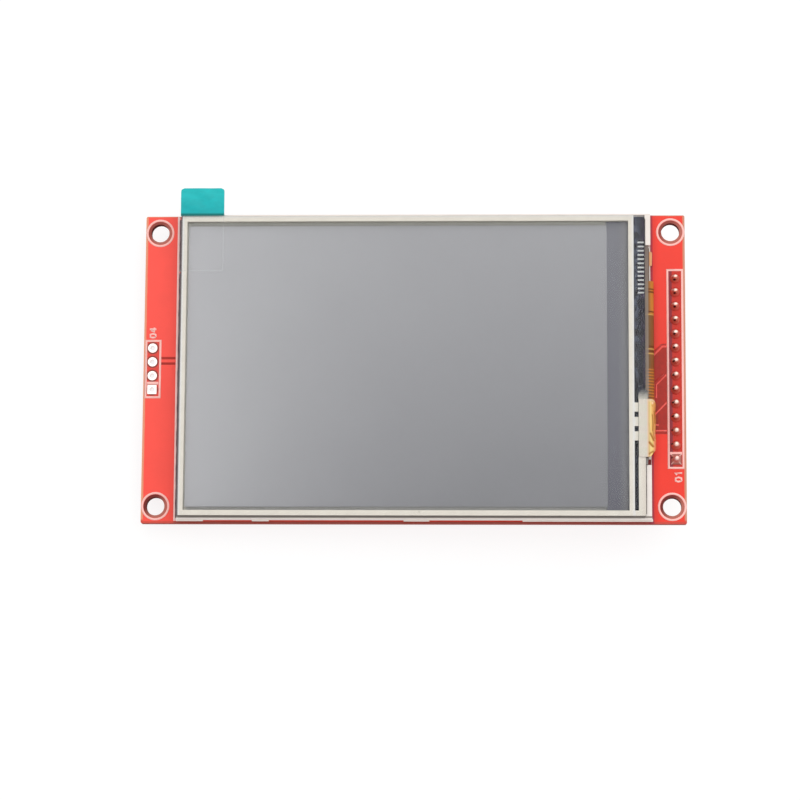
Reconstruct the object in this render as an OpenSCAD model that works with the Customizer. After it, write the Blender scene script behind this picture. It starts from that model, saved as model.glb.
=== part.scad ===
// Thin-film display module: a colour screen with a resistive touch panel on a red circuit board.
// X runs along the board, Y across it and Z out of the screen, in millimetres.
// The origin is the centre of the four mounting holes, on the back face of the board.

/* [Circuit board] */
// Length of board beyond the screen, at the card header's end
card_strip = 6.72; // [6.5:0.02:10]
// Length of board beyond the screen, at the pin header's end
header_strip = 6.32; // [6:0.02:8]
// Width of board beyond the screen, along its upper side
upper_strip = 0.32; // [0.3:0.02:3]
// Width of board beyond the screen, along its lower side
lower_strip = 0.52; // [0.3:0.02:3]
// Thickness of the board
board_t = 1.6; // [1:0.1:2.4]
// Radius of the board's corners
board_corner_r = 0.3; // [0.1:0.1:1]
// Distance from the board's ends to the mounting holes' centres
hole_inset_x = 2.6; // [2.3:0.1:2.9]
// Distance from the board's long sides to the mounting holes' centres
hole_inset_y = 3.1; // [2.9:0.05:3.6]
// Diameter of a mounting hole
hole_d = 3.3; // [2.8:0.1:3.4]

/* [Pin header] */
// Number of pins
pin_count = 14; // [6:1:15]
// Distance from pin to pin
pin_pitch = 2.54; // [2.4:0.02:2.6]
// Width of a square pin
pin_w = 0.64; // [0.5:0.02:0.68]
// Length of a pin below the plastic
pin_l = 6; // [4:0.5:9]
// Height of a pin above the front face of the board
pin_tail_h = 0.9; // [0.6:0.1:1.2]
// Length of the taper at a pin's ends
pin_taper = 0.35; // [0.2:0.05:0.5]
// Height of the header's plastic
header_h = 2.54; // [2:0.02:3]
// Cut at each corner of a plastic segment
header_chamfer = 0.5; // [0.3:0.05:0.7]
// Distance from the board's end to the header's row
header_inset = 1.8; // [1.6:0.1:2]
// Diameter of the drilled and plated holes
drill_d = 1.1; // [1.06:0.02:1.2]
// Thickness of the copper in a plated hole
plating_t = 0.05; // [0.03:0.01:0.06]
// Thickness of a copper pad on the board's faces
pad_t = 0.04; // [0.03:0.01:0.08]
// Diameter of a copper pad
pad_d = 1.8; // [1.6:0.05:2]
// Height of a solder joint above its pad
solder_h = 1.2; // [1:0.1:1.5]

/* [Card header] */
// Number of bare holes for the memory card's own header
card_hole_count = 4; // [2:1:6]
// Distance from the board's end to the card header's row
card_header_inset = 1.6; // [1.4:0.1:1.9]

/* [Card socket] */
// Width of the memory card
card_w = 24; // [22:0.5:25]
// Thickness of the memory card
card_t = 2.1; // [1.4:0.1:2.4]
// Clearance round the card
card_gap = 0.2; // [0.1:0.05:0.4]
// Width of the plastic rail beside the card
rail_w = 1.55; // [1.2:0.05:2]
// Thickness of the socket's floor
socket_floor_t = 0.6; // [0.5:0.05:0.9]
// Depth of the socket from its mouth to its back
socket_l = 26.5; // [24:0.5:27]
// Thickness of the plastic behind the card
socket_back_t = 3.2; // [2.5:0.1:4]
// Thickness of the steel shell
shell_t = 0.25; // [0.2:0.05:0.35]
// Distance from the board's long edge to the socket's mouth
socket_edge_gap = 1; // [0.6:0.1:2]
// Distance from the board's end to the socket's side
socket_end_gap = 6; // [5.5:0.5:12]
// Radius of the finger cut in the shell's mouth
finger_r = 9; // [7:0.5:10]
// Depth of the finger cut
finger_depth = 3; // [2:0.25:4]
// Number of card contacts
contact_count = 9; // [6:1:9]
// Distance from contact to contact
contact_pitch = 2.5; // [2.2:0.05:2.6]
// Width of a contact
contact_w = 0.9; // [0.7:0.05:1.1]
// Thickness of a contact
contact_t = 0.2; // [0.15:0.05:0.3]
// Length of a contact's solder tail behind the socket
contact_tail = 1.2; // [0.8:0.1:1.6]
// Length of a contact's spring inside the socket
contact_spring_l = 7; // [5:0.25:8]
// Height that a contact rises above the floor
contact_rise = 0.9; // [0.5:0.1:1.2]

/* [Chips and small parts] */
// Length of the touch controller's body
controller_l = 5; // [4.9:0.1:6]
// Width of the touch controller's body
controller_w = 4.4; // [3.5:0.1:5]
// Thickness of the touch controller's body
controller_h = 0.95; // [0.7:0.05:1.2]
// Leads on one side of the touch controller
controller_leads_side = 8; // [4:1:8]
// Distance from lead to lead on the touch controller
controller_pitch = 0.65; // [0.5:0.05:0.7]
// Width of a touch controller lead
controller_lead_w = 0.25; // [0.2:0.05:0.3]
// Length of a three-lead part's body
triode_l = 2.9; // [2.7:0.1:3.2]
// Width of a three-lead part's body
triode_w = 1.4; // [1.2:0.1:1.8]
// Thickness of a three-lead part's body
triode_h = 1.0; // [0.8:0.05:1.2]
// Distance between the two leads on one side of a three-lead part
triode_pitch = 1.9; // [1.7:0.1:2]
// Width of a three-lead part's lead
triode_lead_w = 0.4; // [0.3:0.05:0.5]
// Gap under a chip's body
standoff = 0.1; // [0.05:0.05:0.2]
// Thickness of a lead
lead_t = 0.15; // [0.1:0.01:0.2]
// Reach of a lead beyond the body
lead_reach = 1.0; // [0.8:0.1:1.3]
// Slope of a moulded body's sides, as a sideways step
draft = 0.08; // [0.04:0.02:0.14]
// Length of a resistor
resistor_l = 1.6; // [1.5:0.05:2]
// Width of a resistor
resistor_w = 0.8; // [0.6:0.05:1]
// Thickness of a resistor
resistor_h = 0.45; // [0.35:0.05:0.6]
// Length of a capacitor
capacitor_l = 2; // [1.8:0.05:2.4]
// Width of a capacitor
capacitor_w = 1.25; // [1:0.05:1.4]
// Thickness of a capacitor
capacitor_h = 1.1; // [0.8:0.05:1.3]
// Length of the metal cap at a small part's end
cap_l = 0.35; // [0.25:0.05:0.45]
// Thickness of that metal
cap_skin = 0.03; // [0.02:0.01:0.05]

/* [Backlight] */
// Thickness of the white frame's side walls
frame_wall = 0.9; // [0.7:0.05:1]
// Width of the shelf that carries the glass
shelf_w = 1.0; // [0.8:0.1:1.3]
// Length of the bay for the lamps, beyond the light guide
lamp_bay_l = 2.6; // [2.2:0.1:3]
// Clearance beside the screen ribbon's bonded edge, in the frame's end wall
outlet_gap = 0.9; // [0.5:0.1:1.5]
// Thickness of the tape between the board and the screen
tape_t = 0.5; // [0.4:0.05:0.8]
// Width of a strip of that tape
tape_w = 7.5; // [4:0.5:9]
// Distance from the frame's edge to the tape
tape_inset = 0.6; // [0.4:0.1:2]
// Thickness of the reflector film
reflector_t = 0.1; // [0.05:0.05:0.2]
// Distance from the frame's edge to the reflector's edge
reflector_inset = 0.3; // [0.2:0.1:0.6]
// Thickness of the light guide
guide_t = 0.7; // [0.65:0.05:1]
// Clearance round the light guide and the films
film_gap = 0.1; // [0.05:0.05:0.2]
// Thickness of the diffuser and of each prism film
film_t = 0.1; // [0.06:0.02:0.16]
// Width of the films' locating ears
ear_w = 4; // [3:0.5:6]
// Reach of the ears into the frame
ear_l = 0.5; // [0.3:0.1:0.7]
// Distance of the ears from the screen's centre
ear_x = 24; // [18:1:30]
// Thickness of the tape that holds the glass
rim_t = 0.06; // [0.04:0.01:0.1]
// Distance from the picture to the edge of that tape
rim_margin = 0.5; // [0.3:0.1:0.8]
// Number of lamps
lamp_count = 6; // [4:1:8]
// Length of a lamp
lamp_l = 3.8; // [3:0.1:4.2]
// Depth of a lamp
lamp_d = 1.0; // [0.8:0.1:1.2]
// Thickness of the lamps' strip
lamp_strip_t = 0.1; // [0.08:0.02:0.14]
// Reach of the small ribs on the frame's long side
rib_t = 0.2; // [0.1:0.05:0.25]
// Height of those ribs
rib_h = 0.9; // [0.5:0.1:1.2]
// Length of the rib at the card header's corner
card_rib_l = 4.8; // [3:0.1:8]
// Length of the long rib at the other corner
header_rib_l = 23.2; // [16:0.1:26]
// Length of the rib beside the frame's middle
middle_rib_l = 4.6; // [3:0.1:8]
// Distance of that rib from the screen's centre
middle_rib_x = 0.5; // [-2:0.1:2]
// Length of the small rib between
small_rib_l = 3; // [2:0.1:6]
// Distance of the small rib from the screen's centre
small_rib_x = -27.5; // [-30:0.1:-20]

/* [Screen] */
// Length of the picture area
picture_l = 73.44; // [70:0.02:74]
// Width of the picture area
picture_w = 48.96; // [46:0.02:49.5]
// Margin of glass beside the picture along its long sides
glass_side = 2.22; // [2.1:0.02:2.6]
// Margin of glass at the card header's end
glass_far = 1.51; // [1.3:0.01:1.8]
// Margin of glass at the pin header's end, with the bare ledge
glass_near = 7.91; // [7.4:0.01:8.6]
// Clearance between the glass and the frame
glass_gap = 0.15; // [0.1:0.05:0.2]
// Thickness of each sheet of screen glass
glass_t = 0.5; // [0.4:0.05:0.7]
// Length of the lower glass that the upper glass leaves bare
ledge_l = 2.0; // [1.8:0.1:2.1]
// Cut at the lower glass's two corners beside the ribbon
glass_chamfer = 0.8; // [0.4:0.1:1]
// Thickness of a polariser
polariser_t = 0.12; // [0.1:0.02:0.18]
// Margin of the polarisers round the picture
polariser_rim = 1.1; // [0.9:0.05:1.2]
// Length of the driver chip
driver_l = 18; // [12:0.5:22]
// Width of the driver chip
driver_w = 0.9; // [0.7:0.05:1]
// Distance from the upper glass to the driver chip
driver_gap = 0.3; // [0.2:0.05:0.35]
// Thickness of the black tape over the ledge
ledge_tape_t = 0.06; // [0.04:0.01:0.1]

/* [Screen ribbon] */
// Width of the screen's ribbon
ribbon_w = 31; // [26:0.5:31.5]
// Thickness of the ribbon
ribbon_t = 0.12; // [0.1:0.01:0.15]
// Length of the ribbon's bonded edge on the glass
bond_l = 0.7; // [0.5:0.1:0.8]
// Width of the ribbon's bonded edge on the glass
bond_w = 38.2; // [34:0.1:40]
// Distance of that edge's middle from the screen's centre line
bond_offset = 2; // [1.8:0.1:2.2]
// Place where the ribbon starts to bend, inside the frame's end
ribbon_bend_inset = 0.5; // [0.4:0.05:0.6]
// Radius of the ribbon's bends
ribbon_r = 1.1; // [1:0.02:1.1]
// Length of the ribbon under the screen
ribbon_return_l = 24; // [18:1:34]
// Number of soldered fingers at the ribbon's end
finger_count = 40; // [20:1:42]
// Distance from finger to finger
finger_pitch = 0.7; // [0.6:0.02:0.72]
// Width of a finger
finger_w = 0.35; // [0.25:0.05:0.45]
// Length of a finger
finger_l = 2; // [1.5:0.1:3]
// Height of the solder under the ribbon's end
ribbon_solder_t = 0.15; // [0.14:0.01:0.2]

/* [Touch panel] */
// Distance from the frame's long sides to the touch panel's
touch_side = 0.5; // [0.3:0.05:0.7]
// Distance from the frame's end to the touch panel's, at the card header's end
touch_far = 0.3; // [0.2:0.1:0.5]
// Distance from the frame's end to the touch panel's, at the pin header's end
touch_near = 1.06; // [0.9:0.02:1.2]
// Thickness of the foam gasket under the touch panel
gasket_t = 0.3; // [0.2:0.05:0.5]
// Width of the gasket's bar beside the black tape
gasket_bar = 0.5; // [0.4:0.05:0.7]
// Thickness of the touch glass
touch_glass_t = 0.7; // [0.5:0.05:1.1]
// Thickness of the cream border between glass and film
border_t = 0.1; // [0.08:0.01:0.15]
// Width of the cream border
border_w = 0.95; // [0.8:0.05:1]
// Width of the margin past the border, where the leads run
lead_margin = 2.0; // [1.9:0.05:2.1]
// Thickness of the touch film
touch_film_t = 0.19; // [0.15:0.01:0.25]
// Width of the black gap beside the border
lead_gap = 0.7; // [0.6:0.05:0.8]
// Width of a printed lead
lead_w = 1.64; // [1.2:0.02:1.8]
// Distance from printed lead to printed lead
lead_pitch = 2.6; // [2.4:0.05:2.7]
// Number of printed leads
lead_count = 3; // [2:1:3]
// Distance from the touch ribbon's edge to the first printed lead
lead_inset = 0.6; // [0.2:0.1:0.7]

/* [Touch ribbon] */
// Width of the touch ribbon
tail_w = 10.4; // [9:0.1:10.6]
// Distance of the touch ribbon's middle from the screen's centre line
tail_offset = -11.5; // [-12:0.1:-11]
// Thickness of the touch ribbon
tail_t = 0.1; // [0.08:0.01:0.1]
// Radius of the touch ribbon's bends
tail_r = 1.05; // [0.9:0.05:1.15]
// Distance from the touch panel's end to the ribbon's first bend
tail_run = 0.9; // [0.8:0.05:1]
// Length of the touch ribbon under the screen
tail_return_l = 4.5; // [3:0.25:8]

/* [Protective film] */
// Thickness of the protective film
film_cover_t = 0.06; // [0.04:0.01:0.1]
// Thickness of the pull tab
tab_t = 0.08; // [0.06:0.01:0.12]
// Width of the pull tab
tab_w = 7.9; // [6:0.1:12]
// Distance that the tab stands out past the touch panel
tab_reach = 5.15; // [3:0.05:8]
// Length of the tab's clear part on the film
tab_stick_l = 10.2; // [6:0.1:14]
// Distance from the touch panel's end to the tab, below zero where the tab stands past it
tab_offset = -0.25; // [-0.5:0.05:4]
// Radius of the tab's outer corners
tab_corner_r = 0.7; // [0.3:0.1:1.5]

/* [Hidden] */

// Roundness of bores and arcs
bore_fn = 64;
small_fn = 32;
// How far a cutting shape runs past what it cuts
past = 1;
// Sideways clearance between thin pieces that lie on each other
lay_gap = 0.1;
// Solder that covers a pin's corners at the tip of its joint
solder_skin = 0.02;
// Shares of a lead's reach where it turns down and where it meets the board
lead_knee = 0.3;
lead_ankle = 0.45;
// Reach and length of the card socket's feet, and its spring tongues
foot_out = 1.2;
foot_l = 3.2;
tongue_l = 8;
tongue_w = 2;
// Length of a card contact's crest, and of the slope down to its tip
crest_l = 0.8;
crest_slope_l = 1.2;

// Places along Z, from the board upwards
screen_z = board_t + tape_t;
frame_z = screen_z + reflector_t;
diffuser_z = frame_z + guide_t;
lower_prism_z = diffuser_z + film_t;
upper_prism_z = lower_prism_z + film_t;
shelf_z = upper_prism_z + film_t;
rear_polariser_z = shelf_z + rim_t;
lower_glass_z = rear_polariser_z + polariser_t;
upper_glass_z = lower_glass_z + glass_t;
frame_top_z = upper_glass_z + glass_t;
touch_z = frame_top_z + gasket_t;
border_z = touch_z + touch_glass_t;
touch_film_z = border_z + border_t;
cover_z = touch_film_z + touch_film_t;
tab_z = cover_z + film_cover_t;

// Outlines as [low x, low y, high x, high y]
wall_gap = glass_gap + frame_wall;
board_l = card_strip + glass_far + picture_l + glass_near + 2 * wall_gap + header_strip;
board_w = lower_strip + picture_w + 2 * (glass_side + wall_gap) + upper_strip;
frame_box = [
    card_strip - board_l / 2, lower_strip - board_w / 2,
    board_l / 2 - header_strip, board_w / 2 - upper_strip
];
screen_x = (frame_box[0] + frame_box[2]) / 2;
screen_y = (frame_box[1] + frame_box[3]) / 2;
wall_box = inset_box(frame_box, frame_wall);
glass_box = inset_box(wall_box, glass_gap);
shelf_box = inset_box(wall_box, shelf_w);
guide_bay = [shelf_box[0], shelf_box[1], wall_box[2] - lamp_bay_l, shelf_box[3]];
guide_box = inset_box(guide_bay, film_gap);
upper_glass_end = glass_box[2] - ledge_l;
picture_box = [
    glass_box[0] + glass_far, glass_box[1] + glass_side,
    glass_box[2] - glass_near, glass_box[3] - glass_side
];
polariser_box = inset_box(picture_box, -polariser_rim);
rim_window = inset_box(picture_box, -rim_margin);
lamp_x = guide_bay[2] + film_gap;
lamp_pitch = picture_w / lamp_count;
driver_x = upper_glass_end + driver_gap;
touch_box = [
    frame_box[0] + touch_far, frame_box[1] + touch_side,
    frame_box[2] - touch_near, frame_box[3] - touch_side
];
border_end = touch_box[2] - lead_margin;
border_box = [touch_box[0], touch_box[1], border_end, touch_box[3]];
window_box = inset_box(border_box, border_w);
lead_bank_x = border_end + lead_gap;
gasket_end = window_box[2] + gasket_bar;

// The header's row, and the bare row at the other end
header_x = board_l / 2 - header_inset;
card_header_x = card_header_inset - board_l / 2;
barrel_r = drill_d / 2 - plating_t;
header_seat_z = -pad_t;

// Half section of a solder joint: a hollow flank that ends in a round tip
solder_foot_r = pad_d / 2 - pad_t;
solder_tip_r = pin_w / sqrt(2) + solder_skin;
flank_h = solder_h - solder_tip_r / 2;
solder_side = concat(
    [for (u = [0:0.2:1]) [flank_r(u), flank_h * u]],
    [for (a = [22.5:22.5:67.5]) [solder_tip_r * cos(a), flank_h + (solder_h - flank_h) * sin(a)]]
);

// The card socket, which hangs from the back face with its mouth at the board's long edge
cavity_w = card_w + 2 * card_gap;
cavity_h = card_t + card_gap;
socket_w = cavity_w + 2 * rail_w;
socket_h = socket_floor_t + cavity_h;
socket_x = socket_end_gap - board_l / 2 + socket_w / 2 + shell_t;
socket_side_x = socket_x + socket_w / 2 + shell_t + foot_out;
socket_mouth_y = board_w / 2 - socket_edge_gap;
socket_back_y = socket_mouth_y - socket_l;
contact_slot_w = contact_w + 2 * card_gap;
floor_window_y = socket_back_y + socket_back_t + contact_spring_l + 2 * rail_w;
floor_window_l = socket_mouth_y - floor_window_y - 3 * rail_w;

// The ribbons' bends
ribbon_low_z = board_t + ribbon_solder_t;
ribbon_high_z = upper_glass_z + ribbon_t;
ribbon_bend_x = frame_box[2] - ribbon_bend_inset;
ribbon_start = glass_box[2] - bond_l;
ribbon_finish = ribbon_bend_x - ribbon_return_l;
bond_low_y = screen_y + bond_offset - bond_w / 2;
bond_high_y = screen_y + bond_offset + bond_w / 2;
tail_bend_x = touch_box[2] + tail_run;
tail_low_y = screen_y + tail_offset - tail_w / 2;
tail_high_y = tail_low_y + tail_w;
tail_low_z = ribbon_low_z - tail_t;

// Small parts on the back face, as [distance before the pin header's row, y, turn]
controller_place = [29, 4, 90];
regulator_place = [11, -19, 0];
transistor_place = [13, 12, 90];
resistor_places = [
    [39, 9, 90], [36, 9, 90], [21, 8, 0], [21, 4, 0], [21, 0, 0], [16, 17, 0], [8, 8, 90]
];
capacitor_places = [[6, -14, 90], [17, -19, 90], [29, -4, 0]];

// The card's own small parts, as [distance past the socket's feet, y, turn]
card_resistor_places = [[6, 20, 90], [6, 14, 90], [6, 8, 90], [9, 8, 90]];
card_capacitor_place = [6, 1, 90];

// Ribs low on the frame's long side, as [low x, length]
rib_spans = [
    [frame_box[0] - rib_t, card_rib_l],
    [screen_x + small_rib_x - small_rib_l / 2, small_rib_l],
    [screen_x + middle_rib_x - middle_rib_l / 2, middle_rib_l],
    [frame_box[2] + rib_t - header_rib_l, header_rib_l]
];

function inset_box(b, d) = [b[0] + d, b[1] + d, b[2] - d, b[3] - d];
function row_place(index, count, pitch) = (index - (count - 1) / 2) * pitch;
function flank_r(u) = solder_tip_r + (solder_foot_r - solder_tip_r) * pow(1 - u, 2);
function reversed(list) = [for (i = [len(list) - 1:-1:0]) list[i]];

// A flat slab over an outline box
module slab(b, z, t) {
    translate([b[0], b[1], z]) cube([b[2] - b[0], b[3] - b[1], t]);
}

// A flat ring between two outline boxes
module ring(outer, inner, z, t) {
    difference() {
        slab(outer, z, t);
        slab(inner, z - past, t + 2 * past);
    }
}

// A slab outline with rounded corners, about the origin
module rounded_outline(l, w, r) {
    square([l - 2 * r, w], center = true);
    square([l, w - 2 * r], center = true);
    for (x = [-1, 1], y = [-1, 1])
        translate([x * (l / 2 - r), y * (w / 2 - r)]) circle(r = r, $fn = small_fn);
}

// A block whose four sides slope outwards from top and bottom to a line at its middle
module moulded_block(l, w, h) {
    intersection() {
        rotate([90, 0, 0])
            linear_extrude(height = w, center = true) moulded_section(l, h);
        rotate([90, 0, 90])
            linear_extrude(height = l, center = true) moulded_section(w, h);
    }
}

module moulded_section(l, h) {
    polygon([
        [-l / 2 + draft, 0], [l / 2 - draft, 0], [l / 2, h / 2],
        [l / 2 - draft, h], [-l / 2 + draft, h], [-l / 2, h / 2]
    ]);
}

// A strip of even thickness above a path of [along, up] points, centred on its width
module bent_strip(path, t, w) {
    rotate([90, 0, 0])
        linear_extrude(height = w, center = true)
            polygon(concat(path, [for (p = reversed(path)) [p[0], p[1] + t]]));
}

// ---- Circuit board ----

module mounting_holes() {
    for (x = [-1, 1], y = [-1, 1])
        translate([
            x * (board_l / 2 - hole_inset_x), y * (board_w / 2 - hole_inset_y), -past
        ])
            cylinder(h = board_t + 2 * past, d = hole_d, $fn = bore_fn);
}

module header_places() {
    for (i = [0:pin_count - 1])
        translate([header_x, row_place(i, pin_count, pin_pitch), 0]) children();
}

module card_header_places() {
    for (i = [0:card_hole_count - 1])
        translate([card_header_x, row_place(i, card_hole_count, pin_pitch), 0]) children();
}

module drilled_hole() {
    translate([0, 0, -past]) cylinder(h = board_t + 2 * past, d = drill_d, $fn = small_fn);
}

module circuit_board() {
    color("#e8382f")
        difference() {
            linear_extrude(height = board_t) rounded_outline(board_l, board_w, board_corner_r);
            mounting_holes();
            header_places() drilled_hole();
            card_header_places() drilled_hole();
        }
}

// A plated hole with a copper pad on each face, round or square
module plated_hole(is_square) {
    difference() {
        union() {
            cylinder(h = board_t, d = drill_d, $fn = small_fn);
            for (z = [-pad_t, board_t])
                translate([0, 0, z]) copper_pad(is_square);
        }
        translate([0, 0, -past])
            cylinder(h = board_t + 2 * past, r = barrel_r, $fn = small_fn);
    }
}

module copper_pad(is_square) {
    if (is_square)
        translate([-pad_d / 2, -pad_d / 2, 0]) cube([pad_d, pad_d, pad_t]);
    else
        cylinder(h = pad_t, d = pad_d, $fn = small_fn);
}

module pad_row(x, count) {
    for (i = [0:count - 1])
        translate([x, row_place(i, count, pin_pitch), 0]) plated_hole(i == 0);
}

module header_pads() {
    color("silver") pad_row(header_x, pin_count);
}

module card_header_pads() {
    color("silver") pad_row(card_header_x, card_hole_count);
}

// ---- Pin header ----

module header_body() {
    half = pin_pitch / 2;
    cut = half - header_chamfer;
    color("#1b1b1d")
        difference() {
            translate([0, 0, header_seat_z - header_h])
                linear_extrude(height = header_h)
                    header_places()
                        polygon([
                            [-half, -cut], [-cut, -half], [cut, -half], [half, -cut],
                            [half, cut], [cut, half], [-cut, half], [-half, cut]
                        ]);
            header_places()
                translate([-pin_w / 2, -pin_w / 2, header_seat_z - header_h - past])
                    cube([pin_w, pin_w, header_h + 2 * past]);
        }
}

// One side view of a pin: straight, with a taper at both ends
module pin_section() {
    low = header_seat_z - header_h - pin_l;
    high = board_t + pin_tail_h;
    half = pin_w / 2;
    tip = half / 2;
    polygon([
        [-tip, low], [tip, low], [half, low + pin_taper], [half, high - pin_taper],
        [tip, high], [-tip, high], [-half, high - pin_taper], [-half, low + pin_taper]
    ]);
}

module pin() {
    intersection() {
        rotate([90, 0, 0]) linear_extrude(height = pin_w, center = true) pin_section();
        rotate([90, 0, 90]) linear_extrude(height = pin_w, center = true) pin_section();
    }
}

module header_pins() {
    color("#d9b24c") header_places() pin();
}

module round_joint() {
    rotate_extrude($fn = small_fn)
        polygon(concat([[0, 0]], solder_side, [[0, solder_h]]));
}

// The joint on the square pad has four flanks
module square_joint() {
    intersection() {
        rotate([90, 0, 0]) linear_extrude(height = pad_d, center = true) joint_section();
        rotate([90, 0, 90]) linear_extrude(height = pad_d, center = true) joint_section();
    }
}

module joint_section() {
    polygon(concat(solder_side, [for (p = reversed(solder_side)) [-p[0], p[1]]]));
}

module solder_joint(is_square) {
    difference() {
        union() {
            translate([0, 0, board_t + pad_t])
                if (is_square) square_joint(); else round_joint();
            cylinder(h = board_t + pad_t, r = barrel_r, $fn = small_fn);
        }
        pin();
    }
}

module header_solder() {
    color("gainsboro")
        for (i = [0:pin_count - 1])
            translate([header_x, row_place(i, pin_count, pin_pitch), 0])
                solder_joint(i == 0);
}

// ---- Card socket, built downwards from the board's back face ----

module contact_places() {
    for (i = [0:contact_count - 1])
        translate([socket_x + row_place(i, contact_count, contact_pitch), 0, 0]) children();
}

module card_socket_base() {
    back = socket_back_y;
    color("#222326")
        difference() {
            translate([socket_x - socket_w / 2, back, -socket_h])
                cube([socket_w, socket_l, socket_h]);
            // the card's space, open at the mouth and at the shell's side
            translate([socket_x - cavity_w / 2, back + socket_back_t, -socket_h - past])
                cube([cavity_w, socket_l, cavity_h + past]);
            // a large window in the floor, in front of the contacts
            translate([socket_x - cavity_w / 2 + rail_w, floor_window_y, -socket_h - past])
                cube([cavity_w - 2 * rail_w, floor_window_l, socket_h + 2 * past]);
            contact_places() contact_slot();
        }
}

// The slot that a contact's spring dips into, and the way for its tail
module contact_slot() {
    translate([-contact_slot_w / 2, socket_back_y + socket_back_t, -socket_h])
        cube([contact_slot_w, contact_spring_l, socket_h + past]);
    translate([-contact_w / 2, socket_back_y - past, -contact_t])
        cube([contact_w, socket_back_t + 2 * past, contact_t + past]);
}

// One contact: solder tail, run through the back, and a spring that bows into the card's space
module card_socket_contacts() {
    start = socket_back_y - contact_tail;
    root = socket_back_y + socket_back_t;
    tip = root + contact_spring_l - 2 * card_gap;
    crest = -socket_floor_t - contact_rise;
    color("#d8b04a")
        contact_places()
            rotate([0, 0, 90])
                bent_strip([
                    [start, -contact_t], [root, -contact_t],
                    [tip - crest_slope_l - crest_l, crest - contact_t],
                    [tip - crest_slope_l, crest - contact_t],
                    [tip, -socket_floor_t - contact_t]
                ], contact_t, contact_w);
}

module card_socket_shell() {
    outer_w = socket_w + 2 * shell_t;
    color("#c9cccf")
        difference() {
            union() {
                difference() {
                    translate([socket_x - outer_w / 2, socket_back_y, -socket_h - shell_t])
                        cube([outer_w, socket_l, socket_h + shell_t]);
                    translate([socket_x - socket_w / 2, socket_back_y - past, -socket_h])
                        cube([socket_w, socket_l + 2 * past, socket_h + past]);
                }
                shell_feet(outer_w);
            }
            // finger cut at the mouth
            translate([socket_x, socket_mouth_y + finger_r - finger_depth, -socket_h - shell_t - past])
                cylinder(h = shell_t + 2 * past, r = finger_r, $fn = bore_fn);
            shell_springs();
        }
}

// Feet bent outwards on the board, two on each side
module shell_feet(outer_w) {
    for (side = [-1, 1], y = [socket_back_y + foot_l, socket_mouth_y - 2 * foot_l])
        translate([socket_x + side * (outer_w / 2 + foot_out / 2), y + foot_l / 2, -shell_t / 2])
            cube([foot_out, foot_l, shell_t], center = true);
}

// U-shaped slits that free three spring tongues in the shell's top
module shell_springs() {
    slit = 2 * shell_t;
    y = socket_back_y + socket_back_t + slit;
    for (x = [-1, 0, 1])
        translate([socket_x + x * cavity_w / 3, y, -socket_h - shell_t - past])
            difference() {
                translate([-tongue_w / 2 - slit, 0, 0])
                    cube([tongue_w + 2 * slit, tongue_l + slit, shell_t + 2 * past]);
                translate([-tongue_w / 2, -past, -past])
                    cube([tongue_w, tongue_l + past, shell_t + 4 * past]);
            }
}

// ---- Chips and small parts on the back face ----

// Puts a part on the back face beside the pin header, its own +Z away from the board
module on_back(place) {
    translate([header_x - place[0], place[1], 0]) rotate([180, 0, place[2]]) children();
}

// Puts a part on the back face beside the card socket
module by_socket(place) {
    translate([socket_side_x + place[0], place[1], 0]) rotate([180, 0, place[2]]) children();
}

// Each small part's place, for its ceramic and its caps
module resistor_each() {
    for (p = resistor_places) on_back(p) children();
    for (p = card_resistor_places) by_socket(p) children();
}

module capacitor_each() {
    for (p = capacitor_places) on_back(p) children();
    by_socket(card_capacitor_place) children();
}

module chip_body(l, w, h) {
    translate([0, 0, standoff]) moulded_block(l, w, h);
}

// A gull-wing lead that leaves a body's side at +Y
module gull_lead(w, h, lead_w) {
    side = w / 2 - draft / 2;
    up = standoff + h / 2 - lead_t / 2;
    knee = side + lead_reach * lead_knee;
    ankle = side + lead_reach * lead_ankle;
    rotate([0, 0, 90])
        bent_strip([
            [side, up], [knee, up], [ankle, 0], [w / 2 + lead_reach, 0]
        ], lead_t, lead_w);
}

module touch_controller() {
    color("#26272b")
        on_back(controller_place) chip_body(controller_l, controller_w, controller_h);
}

module touch_controller_leads() {
    color("silver")
        on_back(controller_place)
            difference() {
                for (turn = [0, 180], i = [0:controller_leads_side - 1])
                    rotate([0, 0, turn])
                        translate([row_place(i, controller_leads_side, controller_pitch), 0, 0])
                            gull_lead(controller_w, controller_h, controller_lead_w);
                chip_body(controller_l, controller_w, controller_h);
            }
}

module triode_body() {
    chip_body(triode_l, triode_w, triode_h);
}

module triode_leads() {
    difference() {
        union() {
            for (x = [-1, 1])
                translate([x * triode_pitch / 2, 0, 0])
                    gull_lead(triode_w, triode_h, triode_lead_w);
            rotate([0, 0, 180]) gull_lead(triode_w, triode_h, triode_lead_w);
        }
        triode_body();
    }
}

module regulator() {
    color("#26272b") on_back(regulator_place) triode_body();
}

module regulator_leads() {
    color("silver") on_back(regulator_place) triode_leads();
}

module lamp_transistor() {
    color("#26272b") on_back(transistor_place) triode_body();
}

module lamp_transistor_leads() {
    color("silver") on_back(transistor_place) triode_leads();
}

// The ceramic inside a small part's metal caps
module ceramic(l, w, h) {
    translate([-l / 2 + cap_skin, -w / 2 + cap_skin, cap_skin])
        cube([l - 2 * cap_skin, w - 2 * cap_skin, h - 2 * cap_skin]);
}

module metal_caps(l, w, h) {
    difference() {
        for (x = [-l / 2, l / 2 - cap_l])
            translate([x, -w / 2, 0]) cube([cap_l, w, h]);
        ceramic(l, w, h);
    }
}

module resistor_bodies() {
    color("#1d1d20")
        resistor_each() ceramic(resistor_l, resistor_w, resistor_h);
}

module resistor_caps() {
    color("silver")
        resistor_each() metal_caps(resistor_l, resistor_w, resistor_h);
}

module capacitor_bodies() {
    color("#b58a63")
        capacitor_each() ceramic(capacitor_l, capacitor_w, capacitor_h);
}

module capacitor_caps() {
    color("silver")
        capacitor_each() metal_caps(capacitor_l, capacitor_w, capacitor_h);
}

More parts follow.
